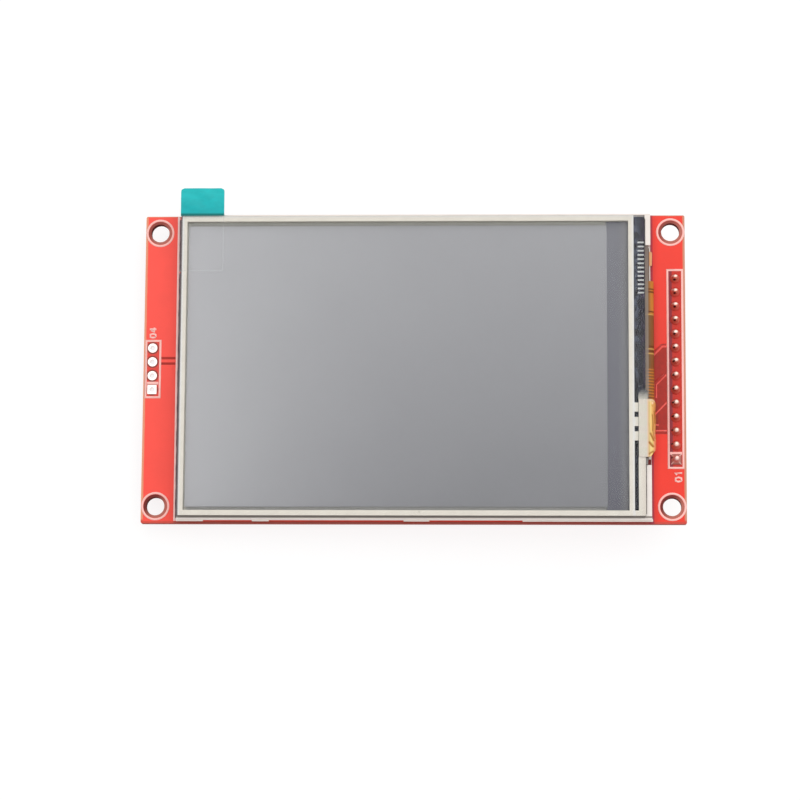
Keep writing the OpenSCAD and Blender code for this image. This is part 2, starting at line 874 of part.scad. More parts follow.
// ---- Backlight ----

module mounting_tape() {
    low_x = frame_box[0] + tape_inset;
    high_x = frame_box[2] - tape_inset;
    low_y = frame_box[1] + tape_inset;
    high_y = frame_box[3] - tape_inset;
    color("#e9e6dc") {
        slab([low_x, low_y, high_x, low_y + tape_w], board_t, tape_t);
        slab([low_x, high_y - tape_w, high_x, high_y], board_t, tape_t);
    }
}

module reflector_film() {
    color("white") slab(inset_box(frame_box, reflector_inset), screen_z, reflector_t);
}

// Notches or ears along the two long sides of the light guide's bay
module ear_slabs(b, reach, z, t, w) {
    for (side = [-1, 1])
        slab([
            screen_x + side * ear_x - w / 2, b[1] - reach,
            screen_x + side * ear_x + w / 2, b[3] + reach
        ], z, t);
}

module backlight_frame() {
    color("#f2eee2")
        difference() {
            union() {
                slab(frame_box, frame_z, frame_top_z - frame_z);
                frame_ribs();
            }
            // space for the glass, above the shelf
            slab(wall_box, shelf_z, frame_top_z - shelf_z + past);
            // space for the light guide and films, open below
            slab(guide_bay, frame_z - past, shelf_z - frame_z + 2 * past);
            ear_slabs(guide_bay, ear_l, frame_z - past, shelf_z - frame_z + 2 * past, ear_w);
            // bay for the lamps, closed above
            slab([
                guide_bay[2] - past, guide_bay[1],
                wall_box[2] - frame_wall / 2, guide_bay[3]
            ], frame_z - past, guide_t + past);
            // outlet for the ribbons in the end wall
            slab([
                wall_box[2] - past, bond_low_y - outlet_gap,
                frame_box[2] + past, bond_high_y + outlet_gap
            ], shelf_z, frame_top_z - shelf_z + past);
        }
}

module frame_ribs() {
    for (rib = rib_spans)
        slab([
            rib[0], frame_box[1] - rib_t, rib[0] + rib[1], frame_box[1] + frame_wall / 2
        ], frame_z, rib_h);
}

// A sheet in the light guide's bay, with ears that keep it in place
module bay_sheet(z, t) {
    slab(guide_box, z, t);
    ear_slabs(guide_box, ear_l, z, t, ear_w - 2 * film_gap);
}

module light_guide() {
    color("#dfeef2") bay_sheet(frame_z, guide_t);
}

module diffuser_film() {
    color("#f7f7f2") bay_sheet(diffuser_z, film_t);
}

module lower_prism_film() {
    color("#dfe3e6") bay_sheet(lower_prism_z, film_t);
}

module upper_prism_film() {
    color("#dfe3e6") bay_sheet(upper_prism_z, film_t);
}

module rim_tape() {
    color("#2a2a2c") ring(glass_box, rim_window, shelf_z, rim_t);
}

module lamp_strip() {
    color("#d99a3c")
        slab([
            lamp_x, picture_box[1], lamp_x + lamp_d + 2 * film_gap, picture_box[3]
        ], diffuser_z - lamp_strip_t, lamp_strip_t);
}

module lamps() {
    color("#f6efc8")
        for (i = [0:lamp_count - 1])
            translate([lamp_x, screen_y + row_place(i, lamp_count, lamp_pitch) - lamp_l / 2, frame_z])
                cube([lamp_d, lamp_l, guide_t - lamp_strip_t]);
}

// ---- Screen ----

module rear_polariser() {
    color("#3a3d40")
        slab([
            polariser_box[0], polariser_box[1], upper_glass_end - polariser_rim, polariser_box[3]
        ], rear_polariser_z, polariser_t);
}

module lower_glass() {
    b = glass_box;
    c = glass_chamfer;
    color("#a9b4b8")
        translate([0, 0, lower_glass_z])
            linear_extrude(height = glass_t)
                polygon([
                    [b[0], b[1]], [b[2] - c, b[1]], [b[2], b[1] + c],
                    [b[2], b[3] - c], [b[2] - c, b[3]], [b[0], b[3]]
                ]);
}

module upper_glass() {
    color("#767678")
        slab([glass_box[0], glass_box[1], upper_glass_end, glass_box[3]], upper_glass_z, glass_t);
}

module front_polariser() {
    color("#a3a3a5") slab(polariser_box, frame_top_z, polariser_t);
}

module driver_chip() {
    color("#1a1a1e")
        slab([
            driver_x, screen_y - driver_l / 2, driver_x + driver_w, screen_y + driver_l / 2
        ], upper_glass_z, glass_t);
}

module ledge_tape() {
    color("#3c3a42")
        slab([
            gasket_end + lay_gap / 2, glass_box[1] + lay_gap, touch_box[2], touch_box[3]
        ], frame_top_z, ledge_tape_t);
}

// ---- Ribbons, as loops that hang over the frame's end ----

// The section of a flat ribbon that runs out above, turns down over two bends of outer radius r
// and comes back below, further than it started
module looped_section(start, finish, bend, low, high, r, t) {
    difference() {
        loop_outline(finish, bend, low, high, r);
        loop_outline(finish - past, bend, low + t, high - t, r - t);
        translate([finish - past, high - 1.5 * t]) square([start - finish + past, 3 * t]);
    }
}

module loop_outline(left, bend, low, high, r) {
    translate([left, low]) square([bend - left, high - low]);
    for (z = [low + r, high - r])
        translate([bend, z]) circle(r = r, $fn = bore_fn);
    translate([bend, low + r]) square([r, high - low - 2 * r]);
}

module loop_extrude(low_y, high_y) {
    translate([0, high_y, 0]) rotate([90, 0, 0]) linear_extrude(height = high_y - low_y) children();
}

module screen_ribbon() {
    color("#c1823f") {
        loop_extrude(screen_y - ribbon_w / 2, screen_y + ribbon_w / 2)
            looped_section(
                ribbon_start, ribbon_finish, ribbon_bend_x,
                ribbon_low_z, ribbon_high_z, ribbon_r, ribbon_t
            );
        // the wider bonded edge on the glass
        slab([ribbon_start, bond_low_y, ribbon_bend_x, bond_high_y], upper_glass_z, ribbon_t);
    }
}

module ribbon_solder() {
    color("gainsboro")
        for (i = [0:finger_count - 1])
            translate([
                ribbon_finish, screen_y + row_place(i, finger_count, finger_pitch) - finger_w / 2,
                board_t
            ])
                cube([finger_l, finger_w, ribbon_solder_t]);
}

module touch_ribbon() {
    color("#f0c860")
        loop_extrude(tail_low_y, tail_high_y)
            looped_section(
                lead_bank_x, tail_bend_x - tail_return_l, tail_bend_x,
                tail_low_z, border_z + tail_t, tail_r, tail_t
            );
}

// ---- Touch panel ----

module touch_gasket() {
    outer = [
        touch_box[0] + lay_gap, touch_box[1] + lay_gap, gasket_end, touch_box[3] - lay_gap
    ];
    color("#efece2") ring(outer, window_box, frame_top_z, gasket_t);
}

module touch_glass() {
    color("#c9d3d6", 0.5) slab(touch_box, touch_z, touch_glass_t);
}

// The cream border, the printed leads across the black gap and the bank below the ribbon
module touch_border() {
    first = tail_high_y - lead_w - lead_inset;
    color("#e6e1d2") {
        ring(border_box, window_box, border_z, border_t);
        for (i = [0:lead_count - 1])
            slab([
                border_end, first - i * lead_pitch, lead_bank_x, first - i * lead_pitch + lead_w
            ], border_z, border_t);
        slab([
            lead_bank_x, touch_box[1], touch_box[2], tail_low_y
        ], border_z, border_t);
        slab([
            border_end, touch_box[1], lead_bank_x, touch_box[1] + border_w
        ], border_z, border_t);
    }
}

module touch_film() {
    color("#b9bcbe", 0.4) slab(touch_box, touch_film_z, touch_film_t);
}

// ---- Protective film and its tab ----

module protective_film() {
    color("#e8eef0", 0.3) slab(touch_box, cover_z, film_cover_t);
}

module pull_tab() {
    length = tab_reach + tab_stick_l;
    left = touch_box[0] + tab_offset;
    color("#27b8b6")
        translate([left + tab_w / 2, touch_box[3] + tab_reach - length / 2, tab_z])
            linear_extrude(height = tab_t) rounded_outline(tab_w, length, tab_corner_r);
}

circuit_board();
header_pads();
card_header_pads();
header_body();
header_pins();
header_solder();
card_socket_base();
card_socket_shell();
card_socket_contacts();
touch_controller();
touch_controller_leads();
regulator();
regulator_leads();
lamp_transistor();
lamp_transistor_leads();
resistor_bodies();
resistor_caps();
capacitor_bodies();
capacitor_caps();
mounting_tape();
reflector_film();
backlight_frame();
light_guide();
diffuser_film();
lower_prism_film();
upper_prism_film();
rim_tape();
lamp_strip();
lamps();
rear_polariser();
lower_glass();
upper_glass();
front_polariser();
driver_chip();
ledge_tape();
screen_ribbon();
ribbon_solder();
touch_gasket();
touch_glass();
touch_border();
touch_film();
touch_ribbon();
protective_film();
pull_tab();
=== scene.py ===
"""A thin-film display module on a red circuit board: its finishes and fine pieces.

Sizes in the dataclasses are millimetres in the part's own frame. X runs along the board, Y
across it and Z out of the screen; the origin is the centre of the four mounting holes, on
the back face of the board. Objects are made in metres.
"""

from __future__ import annotations

import logging
import math
import random
from dataclasses import dataclass, field
from enum import Enum
from functools import cached_property, reduce
from operator import or_
from typing import Iterable, Iterator, Sequence, Union

import bmesh
import bpy
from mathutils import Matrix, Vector

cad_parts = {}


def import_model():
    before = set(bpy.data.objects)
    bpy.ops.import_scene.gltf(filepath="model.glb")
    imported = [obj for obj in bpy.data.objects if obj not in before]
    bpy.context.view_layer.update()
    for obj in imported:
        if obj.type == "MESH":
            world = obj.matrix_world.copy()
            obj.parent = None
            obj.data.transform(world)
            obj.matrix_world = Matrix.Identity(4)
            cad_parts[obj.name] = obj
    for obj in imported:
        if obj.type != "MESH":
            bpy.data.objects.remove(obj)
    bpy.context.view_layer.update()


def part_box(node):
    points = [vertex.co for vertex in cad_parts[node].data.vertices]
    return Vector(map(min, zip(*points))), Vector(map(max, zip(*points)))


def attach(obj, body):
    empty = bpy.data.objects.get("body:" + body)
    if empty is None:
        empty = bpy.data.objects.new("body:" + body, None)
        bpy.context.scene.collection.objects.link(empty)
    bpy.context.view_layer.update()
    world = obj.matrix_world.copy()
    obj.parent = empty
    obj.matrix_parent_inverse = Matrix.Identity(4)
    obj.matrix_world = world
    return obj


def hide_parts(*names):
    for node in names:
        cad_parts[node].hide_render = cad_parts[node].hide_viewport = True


LOG = logging.getLogger("display_module")
MM = 0.001
BODY = "root"
WHITE = (1, 1, 1, 1)

# the board's corner and a screw hole, and the two headers' pitch and rows, in millimetres
BOARD_HALF = (49, 28.17)
SCREW_HOLE = (46.4, 25.07)
PITCH = 2.54
HEADER_X = 47.2
CARD_X = -47.4

Colour = tuple[float, float, float, float]
Point2 = tuple[float, float]
Point3 = tuple[float, float, float]
Box = tuple[Vector, Vector]


def ink(red: int, green: int, blue: int) -> Colour:
    """Turns a colour of 0 to 255 per channel into the linear colour that a shader takes.

    Args:
        red: the red level.
        green: the green level.
        blue: the blue level.

    Returns:
        The linear colour, opaque.
    """

    def linear(level: int) -> float:
        """Turns one level into a linear share."""
        share = level / 255
        return share / 12.92 if share <= 0.04045 else ((share + 0.055) / 1.055) ** 2.4

    return (linear(red), linear(green), linear(blue), 1.0)


def box_of(node: str) -> Box:
    """Gives the lowest and highest corner of a node of the frame, in millimetres."""
    low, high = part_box(node)
    return low / MM, high / MM


# ---- Shader maths ----


class Signal:
    """One socket's value in a shader. Its operators add Math nodes."""

    def __init__(self, shader: Shader, socket: bpy.types.NodeSocket) -> None:
        """Keeps the shader and the socket that the value comes from."""
        self.shader = shader
        self.socket = socket

    def math(self, operation: str, *values: Input) -> Signal:
        """Adds a Math node on this value.

        Args:
            operation: the Math node's operation.
            values: the second and third values, where the operation takes them.

        Returns:
            The result's signal.
        """
        sockets = dict(enumerate((self, *values)))
        return self.shader.node("ShaderNodeMath", {"operation": operation}, sockets)

    def _after(self, operation: str, first: Input) -> Signal:
        """Adds a Math node whose first value is the given one and whose second is this."""
        return self.shader.node("ShaderNodeMath", {"operation": operation}, {0: first, 1: self})

    def __add__(self, other: Input) -> Signal:
        """Adds."""
        return self.math("ADD", other)

    def __sub__(self, other: Input) -> Signal:
        """Subtracts."""
        return self.math("SUBTRACT", other)

    def __rsub__(self, other: Input) -> Signal:
        """Subtracts this from a number."""
        return self._after("SUBTRACT", other)

    def __mul__(self, other: Input) -> Signal:
        """Multiplies."""
        return self.math("MULTIPLY", other)

    def __truediv__(self, other: Input) -> Signal:
        """Divides."""
        return self.math("DIVIDE", other)

    def __rtruediv__(self, other: Input) -> Signal:
        """Divides a number by this."""
        return self._after("DIVIDE", other)

    def __pow__(self, other: Input) -> Signal:
        """Raises to a power."""
        return self.math("POWER", other)

    def __rpow__(self, other: Input) -> Signal:
        """Raises a number to this power."""
        return self._after("POWER", other)

    def __abs__(self) -> Signal:
        """Drops the sign."""
        return self.math("ABSOLUTE")

    def __or__(self, other: Input) -> Signal:
        """Gives the higher of two masks."""
        return self.math("MAXIMUM", other)

    def __and__(self, other: Input) -> Signal:
        """Gives the lower of two masks."""
        return self.math("MINIMUM", other)

    __radd__, __rmul__, __ror__, __rand__ = __add__, __mul__, __or__, __and__

    def squares(self, other: Signal) -> Signal:
        """Gives this value's square and another's, added up."""
        return self * self + other * other

    def rise(self, start: float, end: float) -> Signal:
        """Gives a smooth step from 0 at start to 1 at end, or the other way round."""
        sockets = {"Value": self, "From Min": min(start, end), "From Max": max(start, end)}
        settings = {"interpolation_type": "SMOOTHSTEP"}
        step = self.shader.node("ShaderNodeMapRange", settings, sockets)
        return step if start < end else 1 - step

    def within(self, low: float, high: float, soft: float = 0.05) -> Signal:
        """Gives 1 between two limits and 0 outside them, with soft edges."""
        return self.rise(low - soft, low + soft) * self.rise(high + soft, high - soft)

    def within_any(self, *limits: Point2) -> Signal:
        """Gives 1 between the limits of any pair, with edges for fine lines."""
        return reduce(or_, (self.within(low, high, 0.06) for low, high in limits))

    def stripes(self, pitch: float, width: float, soft: float = 0.08) -> Signal:
        """Gives 1 on stripes of a width at a pitch, and 0 between them."""
        there = self.math("PINGPONG", pitch / 2)
        return there.rise(width / 2 + soft, width / 2 - soft)


Input = Union[Signal, float, int, tuple]


class Graph:
    """A node tree, where every node is added in the same way."""

    def __init__(self, tree: bpy.types.NodeTree) -> None:
        """Keeps the tree."""
        self.tree = tree

    @staticmethod
    def find(sockets: Iterable, key: Union[str, int]) -> bpy.types.NodeSocket:
        """Finds a socket.

        Args:
            sockets: a node's inputs or outputs.
            key: the socket's place, its identifier or its name.

        Returns:
            The socket.
        """
        listed = list(sockets)
        if isinstance(key, int):
            return listed[key]
        same = [socket for socket in listed if socket.identifier == key]
        return (same or [socket for socket in listed if socket.name == key and socket.enabled])[0]

    def add(
        self, kind: str, settings: dict | None = None, sockets: dict | None = None
    ) -> bpy.types.Node:
        """Adds one node.

        Args:
            kind: the node's type.
            settings: the node's own settings, set before its sockets.
            sockets: values, sockets or signals, by place, identifier or name of the input.

        Returns:
            The node.
        """
        made = self.tree.nodes.new(kind)
        for name, value in (settings or {}).items():
            setattr(made, name, value)
        for key, value in (sockets or {}).items():
            target = self.find(made.inputs, key)
            source = value.socket if isinstance(value, Signal) else value
            if isinstance(source, bpy.types.NodeSocket):
                self.tree.links.new(source, target)
            else:
                target.default_value = value[:3] if target.type == "VECTOR" else value
        return made


class Shader(Graph):
    """The surface of a material or of the world."""

    def __init__(self, owner: Union[bpy.types.Material, bpy.types.World]) -> None:
        """Empties the owner's node tree and keeps both."""
        owner.use_nodes = True
        super().__init__(owner.node_tree)
        self.owner = owner
        self.tree.nodes.clear()

    def node(
        self,
        kind: str,
        settings: dict | None = None,
        sockets: dict | None = None,
        result: Union[str, int] = 0,
    ) -> Signal:
        """Adds one node, as add does, and gives the signal of one of its outputs."""
        return Signal(self, self.find(self.add(kind, settings, sockets).outputs, result))

    def vector(self, operation: str, sockets: dict) -> Signal:
        """Adds a Vector Math node."""
        return self.node("ShaderNodeVectorMath", {"operation": operation}, sockets)

    def split(self, vector: Signal) -> tuple[Signal, ...]:
        """Gives a vector's three numbers."""
        made = self.add("ShaderNodeSeparateXYZ", None, {0: vector})
        return tuple(Signal(self, socket) for socket in made.outputs)

    @cached_property
    def millimetres(self) -> Signal:
        """The place on the object as a vector in millimetres."""
        place = self.node("ShaderNodeTexCoord", result="Object")
        return self.vector("SCALE", {0: place, "Scale": 1 / MM})

    @cached_property
    def place(self) -> tuple[Signal, ...]:
        """The place on the object as three numbers in millimetres."""
        return self.split(self.millimetres)

    @property
    def seen(self) -> Signal:
        """Gives 1 to the rays an eye sees by: straight, mirrored or let through."""
        rays = self.add("ShaderNodeLightPath").outputs
        straight, mirrored, through = (
            Signal(self, rays[f"Is {kind} Ray"]) for kind in ("Camera", "Glossy", "Transmission")
        )
        return straight | mirrored | through

    @property
    def nothing(self) -> Signal:
        """A surface that lets all light through."""
        return self.node("ShaderNodeBsdfTransparent", None, {0: WHITE})

    def facing(self, axis: int) -> Signal:
        """Gives the face's own direction along an axis, from -1 to 1."""
        return self.split(self.node("ShaderNodeNewGeometry", result="True Normal"))[axis]

    def towards(self, axis: int) -> Signal:
        """Gives 1 on the faces that look along an axis."""
        return self.facing(axis).rise(0.4, 0.6)

    def noise(
        self, size: float, detail: float = 3, stretch: Point3 = (1, 1, 1), shift: float = 0
    ) -> Signal:
        """Gives fractal noise round 0.5.

        Args:
            size: the width of a blotch in millimetres.
            detail: how many finer layers it has.
            stretch: how much longer blotches are along each axis.
            shift: moves the pattern, so that two layers differ.

        Returns:
            The noise's signal.
        """
        scale = tuple(1 / (size * share) for share in stretch)
        moved = (shift, shift * 1.7, shift * 0.6)
        where = self.vector("MULTIPLY_ADD", {0: self.millimetres, 1: scale, 2: moved})
        sockets = {"Vector": where, "Scale": 1.0, "Detail": detail, "Roughness": 0.55}
        return self.node("ShaderNodeTexNoise", None, sockets)

    def specks(self, size: float, share: float, shift: float = 0) -> Signal:
        """Gives sparse small specks: 1 on a speck and 0 beside it."""
        sockets = {0: self.millimetres, 1: (1 / size,) * 3, 2: (shift,) * 3}
        where = self.vector("MULTIPLY_ADD", sockets)
        near = self.node("ShaderNodeTexVoronoi", None, {"Vector": where, "Scale": 1.0})
        return near.rise(share, share * 0.6)

    def mix(self, mask: Input, under: Input, over: Input) -> Signal:
        """Lays one colour over another where the mask is 1."""
        sockets = {"Factor_Float": mask, "A_Color": under, "B_Color": over}
        settings = {"data_type": "RGBA", "clamp_factor": True}
        return self.node("ShaderNodeMix", settings, sockets, "Result_Color")

    def layers(self, base: Input, *coats: tuple[Input, Input]) -> Input:
        """Lays colours over a base one after another, each where its mask is 1."""
        for mask, colour in coats:
            base = self.mix(mask, base, colour)
        return base

    def tint(self, colour: Input, amount: Signal, depth: float) -> Signal:
        """Makes a colour lighter and darker with a noise round 0.5."""
        level = amount.rise(0.2, 0.8) * (2 * depth) + (1 - depth)
        grey = self.node("ShaderNodeCombineXYZ", None, {0: level, 1: level, 2: level})
        return self.vector("MULTIPLY", {0: colour, 1: grey})

    def coat(
        self,
        base: Input,
        rough: Input,
        height: Signal | None = None,
        depth: float = 0.0,
        shine: float = 0.5,
        metal: Input = 0.0,
    ) -> Signal:
        """Adds a Principled surface.

        Args:
            base: its colour.
            rough: its roughness.
            height: its relief from 0 to 1, or None for a flat one.
            depth: what a height of 1 measures, in millimetres.
            shine: its level of specular light.
            metal: how metallic it is.

        Returns:
            The surface's signal.
        """
        sockets: dict = {"Base Color": base, "Roughness": rough}
        sockets |= {"Specular IOR Level": shine, "Metallic": metal}
        if height is not None:
            relief = {"Height": height, "Distance": depth * MM, "Strength": 1.0}
            sockets["Normal"] = self.node("ShaderNodeBump", None, relief)
        return self.node("ShaderNodeBsdfPrincipled", None, sockets)

    def blend(self, mask: Input, under: Signal, over: Signal) -> Signal:
        """Mixes two surfaces with a mask."""
        return self.node("ShaderNodeMixShader", None, {0: mask, 1: under, 2: over})

    def close(self, surface: Signal) -> Union[bpy.types.Material, bpy.types.World]:
        """Joins the surface to the output and returns the finished owner."""
        kind = "World" if isinstance(self.owner, bpy.types.World) else "Material"
        self.add(f"ShaderNodeOutput{kind}", None, {"Surface": surface})
        return self.owner


# ---- Finishes ----


@dataclass(frozen=True)
class Finish:
    """A finish with a name; its surface method builds the shader."""

    name: str

    def surface(self, s: Shader) -> Signal:
        """Builds the finish's surface.

        Args:
            s: the shader that takes the nodes.

        Returns:
            The surface's signal.
        """
        raise NotImplementedError

    @property
    def material(self) -> bpy.types.Material:
        """The finish's material, made once."""
        if self not in MATERIALS:
            shader = Shader(bpy.data.materials.new("finish_" + self.name))
            MATERIALS[self] = shader.close(self.surface(shader))
        return MATERIALS[self]


MATERIALS: dict[Finish, bpy.types.Material] = {}


@dataclass(frozen=True)
class Moulded(Finish):
    """Moulded plastic, ceramic or foam with a fine grain."""

    colour: Colour
    roughness: float = 0.45
    grain: float = 0.12
    depth: float = 0.004
    mottle: float = 0.06
    shine: float = 0.5

    def surface(self, s: Shader) -> Signal:
        """Builds a mottled colour, an uneven gloss and a fine grain."""
        cloud, fine = s.noise(3.5, 4), s.noise(self.grain, 2, shift=3)
        dust = s.specks(1.1, 0.12) * 0.25
        base = s.mix(dust, s.tint(self.colour, cloud, self.mottle), ink(205, 200, 192))
        rough = cloud * 0.14 + fine * 0.12 + (self.roughness - 0.13)
        return s.coat(base, rough, fine, self.depth, self.shine)


@dataclass(frozen=True)
class Metal(Finish):
    """Plated, tinned or rolled metal with fine lines, dull patches and small pits."""

    colour: Colour
    roughness: float = 0.28
    stretch: Point3 = (1, 1, 1)
    tarnish: float = 0.25
    dent: float = 0.006
    grain: float = 0.35

    def surface(self, s: Shader) -> Signal:
        """Builds lines along the rolling direction and patches of dull metal."""
        lines = s.noise(self.grain, 3, self.stretch)
        patch = s.noise(1.6, 3, shift=5).rise(0.5, 0.8)
        dull = tuple(0.55 * part for part in self.colour[:3]) + (1.0,)
        base = s.mix(patch * self.tarnish, s.tint(self.colour, lines, 0.08), dull)
        rough = lines * 0.2 + patch * 0.15 + (self.roughness - 0.1)
        return s.coat(base, rough, lines, self.dent, metal=1.0)


@dataclass(frozen=True)
class Clear(Finish):
    """Clear glass or film: it lets the layers below show and adds a little gloss."""

    tint: Colour = ink(240, 246, 246)
    veil: float = 0.03
    roughness: float = 0.06
    ripple: float = 0.02
    # the colour of the painted shade on the cut edges
    cut: Colour = ink(86, 81, 75)
    edge_shade_share: float = 0.3

    def surface(self, s: Shader) -> Signal:
        """Builds a see-through surface with faint streaks, dust and a thin veil of gloss, and cut
        edges darkened as painted shade.
        """
        smear, dust = s.noise(9, 4, (2.5, 1, 1)), s.specks(2.4, 0.07)
        rough = smear * 0.05 + self.roughness
        gloss = s.coat(self.tint, rough, s.noise(14, 2), self.ripple, metal=1.0)
        amount = smear.rise(0.3, 0.8) * (self.veil * 0.3) + self.veil + dust * (self.veil * 0.4)
        # painted shade: the upright cut edges are drawn opaque and dark, less so on the sides that
        # face +X
        side = abs(s.facing(2)).rise(0.6, 0.4)
        edge = s.coat(s.tint(self.cut, smear, 0.1), smear * 0.1 + 0.2)
        share = (1 - s.towards(0) * 0.88) * self.edge_shade_share
        return s.blend(side * share, s.blend(amount, s.nothing, gloss), edge)


@dataclass(frozen=True)
class SolderMask(Finish):
    """The board's red mask over copper and laminate, with its cut edges and bare rings."""

    # the red at the lit left end and at the darker right end, a painted fall-off of light
    light: Colour = ink(253, 83, 71)
    deep: Colour = ink(237, 54, 36)
    bare: Colour = ink(167, 31, 13)
    row_shade: Colour = ink(122, 32, 50)
    halo: Colour = ink(128, 58, 48)

    def surface(self, s: Shader) -> Signal:
        """Builds mask over copper, mask over bare laminate, the rings and the cut edge."""
        x, y, _ = s.place
        front = s.towards(2)
        face = front | s.facing(2).rise(-0.4, -0.6)
        side = 1 - face
        cloud, fibre = s.noise(6, 4), s.noise(0.25, 3, (6, 6, 0.4), shift=4)
        ring = self._rings(x, y)
        bare = self._bare(x, y) * front
        masked = 1 - bare
        # painted shade in a strip to the left of the pin header's joints
        row_shade_mask = x.within(46.0, 46.6, 0.12) * y.within(-17.9, 17.9) * front
        # painted shadow, brownish, on the board beside the touch ribbon's bend
        under = x.within(43.2, 44.0, 0.2) * y.within(-11.2, -6.4, 0.6) * front
        right = x.rise(42.0, 42.4) * front
        base = s.layers(
            # painted light: the red is lighter at the left end and deeper towards the right and the
            # near side
            s.tint(s.mix(self._along(x) - y * 0.006, self.light, self.deep), cloud, 0.04),
            (bare, s.tint(self.bare, s.noise(0.8, 3, shift=2), 0.12)),
            (self._halos(x, y) * front, self.halo),
            (self._edge(s, x, y) * face, self._rim(s, x, y)),
            (row_shade_mask * 0.85, self.row_shade),
            (under * 0.75, ink(140, 42, 12)),
            # painted shade on the board beside the frame's right end, purplish nearest the frame
            (x.rise(44.6, 43.0) * right * masked * 0.35, ink(190, 34, 28)),
            (x.rise(43.26, 43.1) * right * masked * 0.75, ink(146, 40, 64)),
            (ring * face, self._copper(s, x, y)),
            (side, self._cut(s, fibre)),
        )
        rough = cloud * 0.08 + 0.26 + ring * 0.3 + side * 0.4
        relief = s.noise(0.5, 3, shift=7) * 0.5 + masked * 0.9 + fibre * side
        return s.coat(base, rough, relief, 0.012, 0.25)

    def _along(self, x: Signal) -> Signal:
        """Gives the place along the board, from 0 to 1."""
        return (x + BOARD_HALF[0]) / (2 * BOARD_HALF[0])

    def _from_hole(self, x: Signal, y: Signal) -> tuple[Signal, Signal]:
        """Gives how far out a place is from its nearest screw hole, along X and Y."""
        return abs(x) - SCREW_HOLE[0], abs(y) - SCREW_HOLE[1]

    def _rim(self, s: Shader, x: Signal, y: Signal) -> Signal:
        """Gives the colours of the bare strip, darker towards the right as painted light and darker
        on its near side as painted shade, most in front of the screen.
        """
        far = s.mix(self._along(x), ink(228, 150, 116), ink(206, 138, 112))
        near = s.mix(abs(x).rise(42.9, 43.3), ink(152, 52, 44), ink(204, 54, 42))
        return s.mix(y.rise(-27.3, -27.8) * 0.9, far, near)

    def _copper(self, s: Shader, x: Signal, y: Signal) -> Signal:
        """Gives the rings' colours, lighter on the side that leans to the light."""
        shaded = s.mix(y.rise(-20, 20), ink(112, 36, 30), ink(146, 68, 58))
        across, along = self._from_hole(x, y)
        lean = (along * y.math("SIGN") - across * x.math("SIGN")) / 3
        return s.mix(lean + 0.5, ink(182, 106, 92), shaded)

    def _cut(self, s: Shader, fibre: Signal) -> Signal:
        """Gives the colours of the cut edge, with the holes' walls darkened as painted shade."""
        x, y, z = s.place
        layered = s.mix(z.stripes(0.2, 0.1, 0.04) * 0.4, ink(150, 58, 50), ink(160, 88, 66))
        inside = [half - abs(place) for half, place in zip(BOARD_HALF, (x, y))]
        hole_shade = inside[0].rise(0.3, 0.5) * inside[1].rise(0.3, 0.5)
        return s.mix(hole_shade * 0.8, s.tint(layered, fibre, 0.18), ink(92, 20, 18))

    def _edge(self, s: Shader, x: Signal, y: Signal) -> Signal:
        """Gives 1 on the strip of bare laminate round the board's edge."""
        wander = s.noise(1.5, 2, shift=9) * 0.14
        inside = (BOARD_HALF[0] - abs(x)) & (BOARD_HALF[1] - abs(y) + y.rise(20, 24) * 0.26)
        return (inside + wander).rise(0.55, 0.35)

    def _rings(self, x: Signal, y: Signal) -> Signal:
        """Gives 1 on the bare rings round the four mounting holes."""
        across, along = self._from_hole(x, y)
        return across.squares(along).math("SQRT").rise(2.2, 2.08)

    def _halos(self, x: Signal, y: Signal) -> Signal:
        """Gives 1 on the bare laminate round the four pads of the card header."""
        step = abs(abs(y) - PITCH) - PITCH / 2
        return (x - CARD_X).squares(step).math("SQRT").rise(1.2, 1.02)

    def _bare(self, x: Signal, y: Signal) -> Signal:
        """Gives 1 where the front has no copper under its mask."""
        card_box = x.within(-48.5, -46.1) * y.within(-5.2, 5.1) * 0.4
        header_box = x.within(45.95, 48.5) * y.within(-18.0, 18.0) * 0.6
        slope = (x - 43.44) * 0.98 + 2.36
        open_field = x.within(42.2, 45.95) * y.rise(-11.98, -11.9)
        open_field = open_field * (slope.math("MINIMUM", 3.8) - y).rise(-0.05, 0.05)
        left_gap = x.within(-46.1, -43.2) * abs(y - 1.45).within(0.28, 0.72, 0.08)
        return card_box | header_box | open_field | left_gap


@dataclass(frozen=True)
class Print(Finish):
    """Screen-printed ink, slightly thin and speckled."""

    colour: Colour
    under: Colour

    def surface(self, s: Shader) -> Signal:
        """Builds ink with pinholes that show what lies below."""
        thin = s.noise(0.3, 3).rise(0.62, 0.78)
        base = s.mix(thin * 0.35, s.tint(self.colour, s.noise(1.2, 2), 0.04), self.under)
        return s.coat(base, thin * 0.15 + 0.5, s.noise(0.2, 2), 0.004)


@dataclass(frozen=True)
class Polariser(Finish):
    """The screen's matt grey front, lighter towards one corner by a painted reflection."""

    light: Colour = ink(176, 176, 179)
    dark: Colour = ink(126, 126, 130)

    def surface(self, s: Shader) -> Signal:
        """Builds the grey, darkened across the screen by a painted reflection, and a very fine
        anti-glare grain.
        """
        x, y, _ = s.place
        # painted reflection: lighter at the far left corner, darker towards the right and the near
        # side
        along, down = (x + 41) / 76, (25.5 - y) / 51
        fall = 1 - (1 - along.math("MINIMUM", 1.0)) ** 2.6
        slow = fall * (down * 0.45 + 0.5) + down * down * 0.12
        fine = s.noise(0.09, 1)
        base = s.tint(s.mix(slow, self.light, self.dark), s.noise(7, 3), 0.012)
        return s.coat(base, fine * 0.1 + 0.42, fine, 0.002, 0.2)


